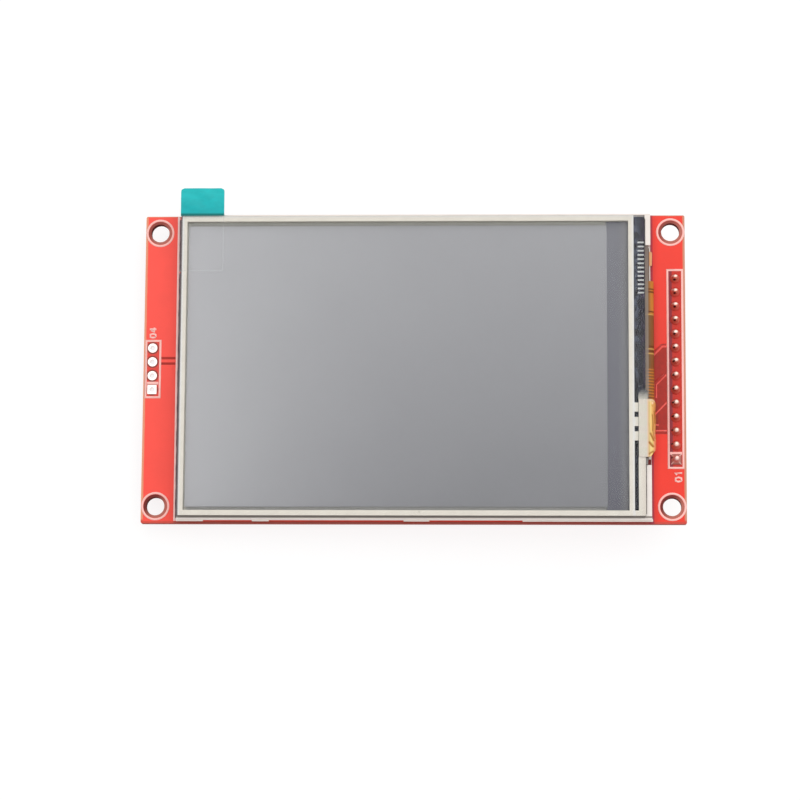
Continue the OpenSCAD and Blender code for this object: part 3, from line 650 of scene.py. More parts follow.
@dataclass(frozen=True)
class ScreenGlass(Finish):
    """The screen's own glass past the polariser, over dark film."""

    light: Colour = ink(118, 118, 125)
    dark: Colour = ink(89, 89, 99)
    warm: Colour = ink(150, 149, 144)

    def surface(self, s: Shader) -> Signal:
        """Builds a bluish grey with soft lengthwise bands and a painted reflection, warmer round
        the other sides, with painted light under the border's edges.
        """
        x, y, _ = s.place
        bands = s.noise(1.4, 3, (1, 14, 1))
        # painted reflection: the bluish band darkens towards the near side
        cold = s.mix((30 - y) / 62, self.light, self.dark)
        # painted light that lifts the shade the border casts on the band's right end
        cold = s.mix(x.rise(36.4, 38.6) * 0.3, cold, self.warm)
        # painted light that lifts the shade under the border's left and far edges
        outer = (x.rise(-40.2, -40.8) | y.rise(25.8, 26.3)) * 0.8
        near = (y.rise(-20, -25) * 0.5, ink(112, 112, 112))
        warm = s.layers(self.warm, near, (outer, ink(172, 171, 162)))
        base = s.tint(s.mix(x.rise(34.4, 34.9), warm, cold), bands, 0.02)
        return s.coat(base, bands * 0.08 + 0.2, s.noise(6, 2), 0.002, 0.2)


@dataclass(frozen=True)
class BlackTape(Finish):
    """Black tape under the touch glass, with a painted bluish sheen and hairline scratches."""

    colour: Colour = ink(38, 35, 42)
    sheen: Colour = ink(98, 104, 122)
    violet: Colour = ink(72, 54, 78)

    def surface(self, s: Shader) -> Signal:
        """Builds clouds of painted blue sheen, a violet side and thin scratches."""
        x, y, _ = s.place
        cloud = s.noise(0.75, 4, (1, 1.8, 1)).rise(0.4, 0.64)
        fine = s.noise(0.2, 3, (1, 3, 1), shift=8).rise(0.5, 0.75)
        scratch = s.noise(0.16, 2, (1, 11, 1), shift=6).rise(0.7, 0.76)
        base = s.layers(
            self.colour,
            (x.rise(40.6, 41.4) * cloud * 0.7, self.violet),
            # painted sheen, strongest at the left and fading towards the near end
            (cloud * (x.rise(41.2, 39.9) * 0.7 + 0.1) * y.rise(-45, 24), self.sheen),
            (fine * 0.22 + scratch * 0.2, ink(112, 114, 128)),
        )
        return s.coat(base, cloud * 0.15 + 0.35, scratch, 0.002, 0.12)


@dataclass(frozen=True)
class CreamInk(Finish):
    """The touch panel's printed border and silver leads."""

    colour: Colour = ink(220, 214, 202)
    cool: Colour = ink(222, 222, 222)

    def surface(self, s: Shader) -> Signal:
        """Builds cream ink with a cooler outer edge, painted shade along its left edge, dimples and
        small spots of dirt.
        """
        x, y, _ = s.place
        weave = s.noise(0.45, 3)
        cool = x.rise(-41.4, -41.9) | y.rise(26.9, 27.2) * 0.5 | x.within(39.3, 39.75, 0.15) * 0.7
        base = s.layers(
            s.tint(self.colour, s.noise(2.2, 3, shift=1), 0.04),
            (cool * 0.8, self.cool),
            (x.rise(40.6, 41.1) * 0.4, ink(214, 202, 190)),
            # painted shade on the outermost strip of the left edge
            (x.rise(-41.84, -41.94) * 0.8, ink(84, 74, 80)),
            (s.specks(3.1, 0.08, 2) * 0.3, ink(150, 140, 120)),
        )
        return s.coat(base, weave * 0.15 + 0.45, weave, 0.006, 0.25)


@dataclass(frozen=True)
class AmberFilm(Finish):
    """The screen ribbon: amber film over etched copper, with bare and grey zones."""

    amber: Colour = ink(196, 120, 44)
    copper: Colour = ink(134, 76, 34)
    lead: Colour = ink(104, 54, 12)
    grey: Colour = ink(142, 128, 116)

    def surface(self, s: Shader) -> Signal:
        """Builds the zones across the ribbon's width, painted shade on its left part and the fine
        leads along it.
        """
        x, y, z = s.place
        comb = y.within(-15.4, -0.2, 0.2) * y.stripes(0.54, 0.2, 0.09)
        marks = y.within_any((14.0, 14.25), (13.45, 13.75), (9.86, 10.14))
        pale = y.within_any((9.35, 9.6), (3.08, 3.3), (2.22, 2.46))
        dark = y.within_any((2.6, 2.92)) | y.within(3.45, 3.8, 0.1)
        base = s.layers(
            s.tint(self.copper, s.noise(1.5, 3), 0.06),
            (y.within(9.6, 15.6), self.amber),
            (y.within(0.2, 9.3, 0.1) * 0.35, ink(128, 88, 44)),
            # painted shade, olive, on the ribbon's left part where its bend starts
            (x.rise(42.9, 42.3) * 0.75, ink(104, 78, 44)),
            (comb, self.amber),
            (marks | dark, self.lead),
            (pale * 0.8, ink(206, 158, 82)),
            (x.rise(42.35, 42.15) * z.rise(3.0, 3.6) * 0.85, self.grey),
        )
        base = s.tint(base, s.noise(0.7, 3, (1, 3, 1), shift=4), 0.05)
        rough = s.noise(1.2, 2) * 0.15 + 0.28
        return s.coat(base, rough, comb | marks | pale, 0.012, 0.2)


@dataclass(frozen=True)
class CreasedFilm(Finish):
    """The touch ribbon: cream where it is bonded, yellow and glossy past that."""

    pale: Colour = ink(240, 208, 130)
    yellow: Colour = ink(230, 180, 100)
    orange: Colour = ink(212, 142, 74)
    pink_highlight: Colour = ink(240, 144, 112)
    crease_shade: Colour = ink(166, 104, 24)
    bonded: Colour = ink(210, 202, 190)

    def surface(self, s: Shader) -> Signal:
        """Builds the yellow film with painted light and shade across its bend and in its creases,
        and the bonded cream end.
        """
        x, y, z = s.place
        fold = s.node("ShaderNodeAttribute", {"attribute_name": "fold"}, None, "Fac")
        streak = s.noise(0.35, 3, (1, 7, 1), shift=2)
        turn = x + streak * 0.3 - 0.15 - y.rise(-13.2, -14.4) * 0.35
        low = y.rise(-11.5, -13) * z.rise(4.3, 5.0)
        glint = x.within(42.7, 42.95, 0.12) * y.within(-7.05, -6.75, 0.15)
        top = z.rise(5.2, 5.35)
        bonded = x.rise(42.1, 41.95) * top
        film = s.layers(
            # painted light across the bend: pale where the film faces up, yellow and then orange
            # where it turns away
            self.pale,
            (turn.rise(42.35, 42.75), self.yellow),
            (turn.rise(42.7, 43.05) * 0.85, self.orange),
            # painted pinkish highlight low on the outer edge
            (x.rise(42.9, 43.2) * low * 0.9, self.pink_highlight),
            # painted shadow along the left edge and at the top end
            (x.rise(42.5, 42.25) * 0.7, ink(196, 164, 112)),
            (y.rise(-6.9, -6.35) * 0.7, ink(216, 192, 162)),
            # a painted glint near the top end
            (glint * 0.7, ink(255, 226, 206)),
        )
        rows = y.stripes(2.6, 1.3, 0.2) * 0.45
        pad = s.mix(rows, s.tint(self.bonded, s.noise(0.8, 3), 0.04), ink(206, 204, 186))
        base = s.layers(
            s.tint(film, streak, 0.07),
            # painted shade: the creases are darkened brown
            (fold.rise(0.08, 0.85) * 0.95, self.crease_shade),
            (bonded, pad),
            (x.within(41.85, 42.1, 0.08) * top * 0.6, ink(224, 184, 150)),
        )
        return s.coat(base, bonded * 0.25 + 0.2, s.noise(0.5, 3), 0.006, 0.35)


@dataclass(frozen=True)
class TabFilm(Finish):
    """The pull tab: teal past the panel, clear where it sticks to the cover film."""

    root_y: float
    edge_x: float
    low_y: float
    teal: Colour = ink(32, 187, 188)
    low: Colour = ink(20, 169, 173)
    root: Colour = ink(2, 108, 106)

    def surface(self, s: Shader) -> Signal:
        """Builds crinkled teal film and the clear strip with its pale cut edges."""
        x, y, _ = s.place
        crumple = s.noise(0.8, 4, (2, 1, 1))
        down = y.rise(self.root_y + 5, self.root_y)
        base = s.tint(s.mix(down, self.teal, self.low), crumple, 0.07)
        base = s.mix(y.rise(self.root_y + 0.62, self.root_y + 0.25), base, self.root)
        edge = x.rise(self.edge_x - 0.28, self.edge_x - 0.1)
        edge = edge | y.rise(self.low_y + 0.28, self.low_y + 0.1)
        coloured = y.rise(self.root_y - 0.03, self.root_y + 0.03)
        base = s.mix(coloured, ink(226, 228, 230), base)
        film = s.coat(base, crumple * 0.2 + 0.3, crumple, 0.03, 0.2)
        return s.blend(coloured | (edge * 0.07 + 0.008), s.nothing, film)


def along_row(y: Signal) -> Signal:
    """Gives the distance along a header's row from its nearest hole."""
    return y.math("WRAP", PITCH, 0.0) - PITCH / 2


@dataclass(frozen=True)
class JointSolder(Finish):
    """Solder on a row of pins, painted with a highlight beside each tip, a dark spot of shade and
    the red board's reflection down its flanks.
    """

    foot_z: float = 1.7
    crown_z: float = 2.5
    crown: Colour = ink(244, 210, 198)
    flank_reflection: Colour = ink(206, 112, 96)
    foot: Colour = ink(204, 66, 54)
    dark_spot: Colour = ink(48, 20, 20)
    ridge_highlights: float = 0.0

    def surface(self, s: Shader) -> Signal:
        """Builds the painted reflection of the board up each joint, its painted highlight and its
        dark spot of painted shade.
        """
        x, y, z = s.place
        dimple = s.noise(0.4, 3)
        across = x - HEADER_X + s.noise(2.3, 1, shift=4) * 0.2 - 0.06
        along = along_row(y)
        up = (y + 17) / 34
        height = (z - self.foot_z) / (self.crown_z - self.foot_z) + dimple * 0.3 - 0.15
        cross = abs(abs(across) - abs(along)).rise(0.16, 0.04) * height.rise(0.8, 0.3)
        right = (across + 0.02) / 0.54
        top = (along - (up * 0.26 + 0.1)) / (0.44 - up * 0.16)
        left = (across - (up * 0.98 - 0.84).math("MINIMUM", -0.06)) / 0.22
        low = (along - (0.3 - up * 0.66)) / 0.15
        dark_spot = left.squares(low).rise(1.6, 0.5) * dimple.rise(0.15, 0.35)
        # painted light: the board's reflection on the foot and flanks, the highlight, lighter ridge
        # lines and a dark spot of shade
        base = s.layers(
            self.foot,
            (height.rise(0.0, 0.5), self.flank_reflection),
            (cross * self.ridge_highlights, ink(240, 200, 192)),
            (right.squares(top).rise(1.5, 0.25), self.crown),
            (dark_spot * 0.95, self.dark_spot),
        )
        metal = height.rise(0.1, 0.7) * 0.6 + 0.3
        return s.coat(base, dimple * 0.1 + 0.38, dimple, 0.02, 0.3, metal)


@dataclass(frozen=True)
class PadCopper(Finish):
    """Tinned pads and barrels of the card header, with painted shade round their rims."""

    colour: Colour = ink(252, 240, 236)
    dull: Colour = ink(150, 88, 76)

    def surface(self, s: Shader) -> Signal:
        """Builds bright tin with a brownish rim of painted shade and small dents."""
        x, y, _ = s.place
        across, along, dent = x - CARD_X, along_row(y), s.noise(0.5, 3)
        round_pad = across.squares(along).math("SQRT").rise(0.74, 0.88)
        square_pad = (abs(across) | abs(along)).rise(0.74, 0.86)
        rim = s.mix(y.rise(-2.5, -2.6), round_pad, square_pad)
        # painted shade: the pads' tops are brownish round their rims
        base = s.mix(rim * s.towards(2), s.tint(self.colour, dent, 0.02), self.dull)
        return s.coat(base, dent * 0.1 + 0.25, dent, 0.006, metal=1.0)


@dataclass(frozen=True)
class Tongue(Finish):
    """The grey tongue over the touch ribbon's shoulder, paler towards the ribbon."""

    dark: Colour = ink(84, 84, 86)
    pale: Colour = ink(186, 182, 172)
    low_y: float = -6.2
    high_y: float = -4.35

    def surface(self, s: Shader) -> Signal:
        """Builds the slow change from dark to pale."""
        cloud = s.noise(0.6, 3)
        up = (s.place[1] - self.low_y) / (self.high_y - self.low_y) + cloud * 0.3 - 0.15
        base = s.mix(up.rise(0.0, 0.95), self.pale, self.dark)
        return s.coat(base, cloud * 0.2 + 0.4, cloud, 0.006, 0.2)


@dataclass(frozen=True)
class ShadedWhite(Finish):
    """White plastic or foam with painted shade beside the touch panel's near and left sides."""

    colour: Colour
    stain: Colour
    near_y: float
    far_y: float

    def surface(self, s: Shader) -> Signal:
        """Builds the white with a soft painted shadow line across it and painted shade at its left
        end.
        """
        x, y, _ = s.place
        cloud = s.noise(2.5, 4)
        # painted shadow: a soft dark line along the touch panel's near side
        line = y.rise(self.near_y - 0.12, self.near_y) * y.rise(self.far_y + 0.1, self.far_y)
        # painted shade on the upward faces at the left end, beside the touch panel
        left = x.rise(-41.6, -41.8) * y.rise(-27.3, -27.1) * s.towards(2)
        base = s.layers(
            s.tint(self.colour, cloud, 0.03),
            (line, self.stain),
            (x.rise(39, 40) * y.rise(15, 18) * 0.5, ink(230, 221, 212)),
            (left * 0.85, ink(98, 86, 92)),
        )
        return s.coat(base, cloud * 0.15 + 0.4, s.noise(0.2, 2), 0.004, 0.3)


class Palette:
    """The finishes that the pieces and the frame's nodes share."""

    board = SolderMask("board_red")
    print_front = Print("printed_ink", ink(255, 196, 188), ink(240, 110, 96))
    track = Moulded("mask_over_track", ink(240, 90, 80), 0.28, 0.4, 0.004, 0.03)
    laminate = Moulded("mask_over_laminate", ink(184, 40, 30), 0.3, 0.4)
    long_line = Print("long_line_ink", ink(255, 216, 210), ink(240, 110, 96))
    tinned = Moulded("tinned_copper", ink(240, 226, 220), 0.3, 0.3, 0.006, 0.03)
    solder = Metal("solder", ink(206, 200, 198), 0.22, tarnish=0.35, dent=0.02)
    joint = JointSolder("joint_solder")
    # the square first joint, with its own painted highlight, reflection, ridge highlight and shade
    first_joint = JointSolder(
        "first_joint_solder", crown=ink(238, 196, 188), flank_reflection=ink(200, 138, 128),
        foot=ink(170, 106, 96), ridge_highlights=0.8,
    )
    pad_copper = PadCopper("pad_copper")
    header_plastic = Moulded("header_plastic", ink(22, 22, 24), 0.42)
    gold_pin = Metal("gold_pin", ink(232, 196, 112), 0.22, (1, 1, 9), 0.15, 0.003)
    socket_plastic = Moulded("socket_plastic", ink(28, 28, 31), 0.5)
    socket_steel = Metal("socket_steel", ink(196, 198, 200), 0.3, (1, 12, 1), 0.12, 0.004)
    chip = Moulded("chip_epoxy", ink(34, 34, 37), 0.55, 0.07, 0.006)
    tinned_lead = Metal("tinned_lead", ink(206, 206, 204), 0.3)
    resistor = Moulded("resistor_glaze", ink(26, 26, 30), 0.3, 0.2, 0.003)
    capacitor = Moulded("capacitor_ceramic", ink(170, 132, 96), 0.5, 0.1, 0.004)
    white_tape = Moulded("white_tape", ink(226, 224, 216), 0.6, 0.15, 0.01)
    frame_white = ShadedWhite(
        "frame_white", ink(246, 237, 230), ink(150, 141, 134), -27.4, -27.1
    )
    reflector = Moulded("reflector_white", ink(236, 238, 240), 0.25, 0.3, 0.003, 0.02)
    acrylic = Moulded("clear_acrylic", ink(206, 220, 224), 0.12, 0.9, 0.002, 0.02)
    diffuser = Moulded("diffuser_white", ink(238, 238, 234), 0.6, 0.05, 0.003, 0.02)
    prism = Moulded("prism_film", ink(206, 210, 214), 0.2, 0.05, 0.01, 0.03)
    black_film = Moulded("black_tape", ink(30, 30, 32), 0.5)
    lamp_flex = Moulded("lamp_flex", ink(206, 150, 70), 0.35)
    phosphor = Moulded("lamp_phosphor", ink(238, 226, 150), 0.4)
    polariser = Polariser("polariser_grey")
    glass = ScreenGlass("screen_glass")
    driver = Moulded("driver_silicon", ink(40, 42, 50), 0.15, 0.3, 0.001)
    amber = AmberFilm("amber_polyimide")
    foam = ShadedWhite("gasket_foam", ink(184, 178, 168), ink(112, 106, 100), -27.6, -26.9)
    touch_glass = Clear("touch_glass", ink(228, 240, 236), 0.001, edge_shade_share=0.95)
    cream = CreamInk("border_cream")
    touch_film = Clear("touch_film", veil=0.0018, edge_shade_share=0.4)
    yellow = CreasedFilm("yellow_polyimide")
    cover = Clear("cover_film", veil=0.005, roughness=0.1, ripple=0.05, edge_shade_share=0.3)
    tape = BlackTape("ledge_tape_black")
    glue = Moulded("grey_glue", ink(146, 142, 140), 0.45, 0.4, 0.006, 0.06, 0.2)
    tongue = Tongue("ribbon_tongue")
    # a dark strip that stands for painted shade beside the frame's far end
    bead = Moulded("tape_bead", ink(92, 78, 84), 0.6, 0.3, 0.01, 0.1, 0.2)
    bond = Moulded("bond_cover", ink(132, 117, 108), 0.5, 0.3, 0.006, 0.14, 0.2)
    bond_edge = Moulded("bond_edge", ink(104, 84, 72), 0.5, 0.3, 0.006, 0.14, 0.2)
    ear = Moulded("amber_ear", ink(228, 168, 116), 0.4, 0.3, 0.004, 0.08, 0.2)
    # dark sheets that stand for painted shade in the frame's outlet
    stain = Moulded("flux_stain", ink(120, 40, 36), 0.5, 0.2, 0.006, 0.1, 0.2)
    mark = Print("ledge_mark", ink(206, 208, 206), ink(90, 92, 98))


# ---- Meshes ----


def mesh_of(
    name: str, points: Iterable, edges: Sequence = (), faces: Sequence = ()
) -> bpy.types.Mesh:
    """Makes a mesh from points in millimetres."""
    mesh = bpy.data.meshes.new(name)
    mesh.from_pydata([Vector(point) * MM for point in points], edges, faces)
    return mesh


def put(name: str, data: bpy.types.ID) -> bpy.types.Object:
    """Puts a mesh, a lamp or a camera in the scene as an object."""
    item = bpy.data.objects.new(name, data)
    bpy.context.scene.collection.objects.link(item)
    return item


def ring_of(
    radius: float, steps: int, power: float = 2, start: float = 0
) -> list[Point2]:
    """Gives points round a ring.

    Args:
        radius: its radius.
        steps: how many points it has.
        power: how square it is: 2 is round.
        start: where the first point is, in steps.

    Returns:
        The points.
    """
    points = []
    for k in range(steps):
        turn = 2 * math.pi * (k + start) / steps
        c, s = math.cos(turn), math.sin(turn)
        reach = radius / (abs(c) ** power + abs(s) ** power) ** (1 / power)
        points.append((reach * c, reach * s))
    return points


def arc(centre: Point2, radii: Point2, start: float, steps: int) -> list[Point2]:
    """Gives points on a quarter of an ellipse.

    Args:
        centre: the ellipse's middle.
        radii: its half widths along X and Y.
        start: the turn where the quarter starts, in degrees.
        steps: how many steps it has.

    Returns:
        The points.
    """
    turns = [math.radians(start + 90 * i / steps) for i in range(steps + 1)]
    return [
        (centre[0] + radii[0] * math.cos(turn), centre[1] + radii[1] * math.sin(turn))
        for turn in turns
    ]


@dataclass
class Solid:
    """Closed shells gathered in millimetres and made into one object."""

    points: list[Point3] = field(default_factory=list)
    faces: list[tuple[int, ...]] = field(default_factory=list)

    def rings(self, rings: Sequence[Sequence[Point3]], closed: bool = False) -> Solid:
        """Joins rings of points into a shell.

        Args:
            rings: the rings, all with the same number of points.
            closed: whether the last ring joins the first, so that there are no end caps.

        Returns:
            This solid.
        """
        start, size = len(self.points), len(rings[0])
        for ring in rings:
            self.points.extend(ring)
        spans = len(rings) if closed else len(rings) - 1
        for i in range(spans):
            a, b = start + i * size, start + (i + 1) % len(rings) * size
            for j in range(size):
                k = (j + 1) % size
                self.faces.append((a + j, a + k, b + k, b + j))
        if not closed:
            last = start + (len(rings) - 1) * size
            self.faces.append(tuple(start + j for j in reversed(range(size))))
            self.faces.append(tuple(last + j for j in range(size)))
        return self

    def prism(self, outline: Sequence[Point2], low: float, high: float) -> Solid:
        """Adds an upright prism on an outline."""
        return self.rings([[(x, y, z) for x, y in outline] for z in (low, high)])

    def slab(self, low: Point3, high: Point3) -> Solid:
        """Adds a box between two corners."""
        outline = [(low[0], low[1]), (high[0], low[1]), (high[0], high[1]), (low[0], high[1])]
        return self.prism(outline, low[2], high[2])

    def object(self, name: str, finish: Finish, smooth: float | None = None) -> bpy.types.Object:
        """Makes the mesh object.

        Args:
            name: the piece's name.
            finish: its finish.
            smooth: the angle in degrees below which edges are shaded smooth, or None.

        Returns:
            The object, at the origin.
        """
        return finished(name, mesh_of(name, self.points, faces=self.faces), finish, smooth)


def finished(
    name: str, mesh: bpy.types.Mesh, finish: Finish, smooth: float | None = None
) -> bpy.types.Object:
    """Cleans a mesh, turns its faces outwards and makes an object of it.

    Args:
        name: the piece's name.
        mesh: the mesh, in metres.
        finish: its finish.
        smooth: the angle in degrees below which edges are shaded smooth, or None.

    Returns:
        The object, at the origin.
    """
    work = bmesh.new()
    work.from_mesh(mesh)
    bmesh.ops.remove_doubles(work, verts=work.verts, dist=1e-7)
    bmesh.ops.recalc_face_normals(work, faces=work.faces)
    if smooth is not None:
        limit = math.radians(smooth)
        for face in work.faces:
            face.smooth = True
        for edge in work.edges:
            edge.smooth = len(edge.link_faces) == 2 and edge.calc_face_angle(0) < limit
    work.to_mesh(mesh)
    work.free()
    mesh.name = name
    mesh.materials.clear()
    mesh.materials.append(finish.material)
    return put(name, mesh)


def register(
    piece: bpy.types.Object, replaces: Sequence[str] = ()
) -> None:
    """Puts a finished piece on the module's body.

    Args:
        piece: the finished piece.
        replaces: the frame's nodes that it stands for.
    """
    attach(piece, BODY)
    if replaces:
        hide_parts(*replaces)
    LOG.info("%s: %d faces", piece.name, len(piece.data.polygons))


def dress(looks: dict[Finish, str]) -> None:
    """Gives nodes of the frame their finish.

    Args:
        looks: each finish with the names of its nodes, set apart by spaces.
    """
    for finish, names in looks.items():
        for name in names.split():
            item = bpy.data.objects[name]
            if not item.material_slots:
                item.data.materials.append(finish.material)
            for slot in item.material_slots:
                slot.material = finish.material
            LOG.info("%s wears %s", name, finish.name)


# ---- Geometry Nodes ----


class Recipe(Graph):
    """A Geometry Nodes tree that is built, used on one object and turned into a mesh."""

    def __init__(self, name: str) -> None:
        """Makes a tree with a geometry input and a geometry output."""
        super().__init__(bpy.data.node_groups.new(name, "GeometryNodeTree"))
        self.values: dict[str, object] = {}
        self.entry = self.add("NodeGroupInput")
        self.geometry = self.input("Geometry", "Geometry")
        self.tree.interface.new_socket(
            "Geometry", in_out="OUTPUT", socket_type="NodeSocketGeometry"
        )

    def input(self, name: str, kind: str, value: object = None) -> bpy.types.NodeSocket:
        """Adds a named input.

        Args:
            name: the input's name.
            kind: what it carries, as its socket's type ends.
            value: the value that the modifier will be given, or None.

        Returns:
            The socket that gives the input to the tree.
        """
        made = self.tree.interface.new_socket(
            name, in_out="INPUT", socket_type=f"NodeSocket{kind}"
        )
        if value is not None:
            self.values[made.identifier] = value
        return self.entry.outputs[name]

    def node(
        self,
        kind: str,
        sockets: dict,
        settings: dict | None = None,
        result: Union[str, int] = 0,
    ) -> bpy.types.NodeSocket:
        """Adds one node, as add does, and gives one of its outputs."""
        return self.find(self.add(kind, settings, sockets).outputs, result)

    def run(
        self,
        mesh: bpy.types.Mesh,
        geometry: bpy.types.NodeSocket,
        finish: Finish,
        smooth: float | None = None,
    ) -> bpy.types.Object:
        """Ends the tree in Realize Instances and Set Material and evaluates it.

        Args:
            mesh: the mesh that the tree starts from, named as the piece.
            geometry: the geometry that the tree has made.
            finish: the piece's finish.
            smooth: the angle in degrees below which edges are shaded smooth, or None.

        Returns:
            The finished object, without the modifier.
        """
        coat = self.input("Finish", "Material", finish.material)
        solid = self.node("GeometryNodeRealizeInstances", {"Geometry": geometry})
        sockets = {"Geometry": solid, "Material": coat}
        self.add("NodeGroupOutput", None, {0: self.node("GeometryNodeSetMaterial", sockets)})
        name = mesh.name
        carrier = put(name + "_carrier", mesh)
        modifier = carrier.modifiers.new("recipe", "NODES")
        modifier.node_group = self.tree
        for identifier, value in self.values.items():
            modifier[identifier] = value
        bpy.context.view_layer.update()
        graph = bpy.context.evaluated_depsgraph_get()
        made = bpy.data.meshes.new_from_object(
            carrier.evaluated_get(graph), preserve_all_data_layers=True, depsgraph=graph
        )
        bpy.data.objects.remove(carrier)
        return finished(name, made, finish, smooth)


class Side(Enum):
    """A face of the circuit board, with its height and the way that print rises from it."""

    FRONT = (1.6, 1.0)
    BACK = (0.0, -1.0)

    def print_z(self, thickness: float) -> float:
        """Gives the middle height of a layer of that thickness on this face."""
        height, way = self.value
        return height + way * (thickness / 2 - 0.004)


@dataclass
class LineWork:
    """Flat lines of one width: printed marks or tracks, gathered in millimetres."""

    side: Side
    width: float
    thickness: float
    lines: list[tuple[list[Point2], bool]] = field(default_factory=list)

    def line(self, *points: Point2, closed: bool = False) -> LineWork:
        """Adds a line through points, closed to a loop where asked."""
        self.lines.append((list(points), closed))
        return self

    def rectangle(self, low: Point2, high: Point2) -> LineWork:
        """Adds a rectangle between two corners."""
        (x0, y0), (x1, y1) = low, high
        return self.line((x0, y0), (x1, y0), (x1, y1), (x0, y1), closed=True)

    def divided(self, low: Point2, high: Point2, y: float) -> LineWork:
        """Adds a rectangle with a line across it that ends at its inner edges."""
        half = self.width / 2
        return self.rectangle(low, high).line((low[0] + half, y), (high[0] - half, y))

    def circle(self, centre: Point2, radius: float, steps: int = 64) -> LineWork:
        """Adds a circle."""
        points = [(centre[0] + x, centre[1] + y) for x, y in ring_of(radius, steps)]
        return self.line(*points, closed=True)

    def digits(self, text: str, centre: Point2, height: float, turn: float) -> LineWork:
        """Adds plain numbers made of strokes.

        Args:
            text: the digits.
            centre: the middle of the number.
            height: the height of a digit.
            turn: the turn about the middle, in degrees.

        Returns:
            This line work.
        """
        ring = [(0.1, 0.1), (0.5, 0.1), (0.6, 0.5), (0.5, 0.9), (0.1, 0.9), (0, 0.5), (0.1, 0.1)]
        stem, nose = [(0.45, 0), (0.45, 1)], [(0.6, 0.32), (0.72, 0.32)]
        strokes = {
            "0": [ring],
            "1": [[(0.1, 0.7), (0.35, 1), (0.35, 0)]],
            "4": [stem, [(0.3, 0.8), (0.02, 0.32), (0.3, 0.32)], nose],
        }
        step, gap = 0.85, 0.25
        shift = (len(text) * step - gap) / 2
        c, s = math.cos(math.radians(turn)), math.sin(math.radians(turn))
        for i, digit in enumerate(text):
            for stroke in strokes[digit]:
                placed = []
                for u, v in stroke:
                    a, b = (u + i * step - shift) * height, (v - 0.5) * height
                    placed.append((centre[0] + a * c - b * s, centre[1] + a * s + b * c))
                self.line(*placed)
        return self

    def make(self, name: str, finish: Finish) -> None:
        """Sweeps a flat section along the lines and puts the piece on the body.

        Args:
            name: the piece's name.
            finish: its finish.
        """
        z = self.side.print_z(self.thickness)
        points: list[Point3] = []
        edges: list[tuple[int, int]] = []
        for line, closed in self.lines:
            start = len(points)
            points.extend((x, y, z) for x, y in line)
            edges.extend((start + i, start + i + 1) for i in range(len(line) - 1))
            if closed:
                edges.append((len(points) - 1, start))
        recipe = Recipe("lines_on_a_face")
        wide = recipe.input("Line width", "Float", self.width * MM)
        thick = recipe.input("Line thickness", "Float", self.thickness * MM)
        path = recipe.node("GeometryNodeMeshToCurve", {"Mesh": recipe.geometry})
        upright = recipe.node("GeometryNodeSetCurveNormal", {"Curve": path}, {"mode": "Z_UP"})
        section = recipe.node(
            "GeometryNodeCurvePrimitiveQuadrilateral", {"Width": wide, "Height": thick}
        )
        sockets = {"Curve": upright, "Profile Curve": section, "Fill Caps": True}
        swept = recipe.node("GeometryNodeCurveToMesh", sockets)
        register(recipe.run(mesh_of(name, points, edges), swept, finish))


def repeat(
    name: str,
    part: bpy.types.Object,
    places: Sequence[Point3],
    finish: Finish,
    turn: float = 0.0,
    shrink: float = 0.0,
    seed: int = 1,
    smooth: float | None = None,
) -> bpy.types.Object:
    """Puts one small part at many places, each a little different.

    Args:
        name: the piece's name.
        part: the small part, about its own origin; it is removed afterwards.
        places: where the copies go, in millimetres.
        finish: their finish.
        turn: the largest turn about Z, in radians.
        shrink: the largest loss of size, as a share.
        seed: the seed of the differences.
        smooth: the angle in degrees below which edges are shaded smooth, or None.

    Returns:
        The finished object.
    """
    recipe = Recipe("part_at_places")
    item = recipe.input("Part", "Object", part)
    turns = recipe.input("Largest turn", "Float", turn)
    smallest = recipe.input("Smallest size", "Float", 1.0 - shrink)
    start = recipe.input("Seed", "Int", seed)
    # the third and fourth inputs of Random Value are its limits where it gives plain numbers
    kind, plain = "FunctionNodeRandomValue", {"data_type": "FLOAT"}
    spin = recipe.node(kind, {"Seed": start, 3: turns}, plain, 1)
    size = recipe.node(kind, {"Seed": start, 2: smallest}, plain, 1)
    sockets = {
        "Points": recipe.geometry,
        "Instance": recipe.node("GeometryNodeObjectInfo", {"Object": item}, None, "Geometry"),
        "Rotation": recipe.node("ShaderNodeCombineXYZ", {"Z": spin}),
        "Scale": size,
    }
    placed = recipe.node("GeometryNodeInstanceOnPoints", sockets)
    made = recipe.run(mesh_of(name, places), placed, finish, smooth)
    bpy.data.objects.remove(part)
    return made


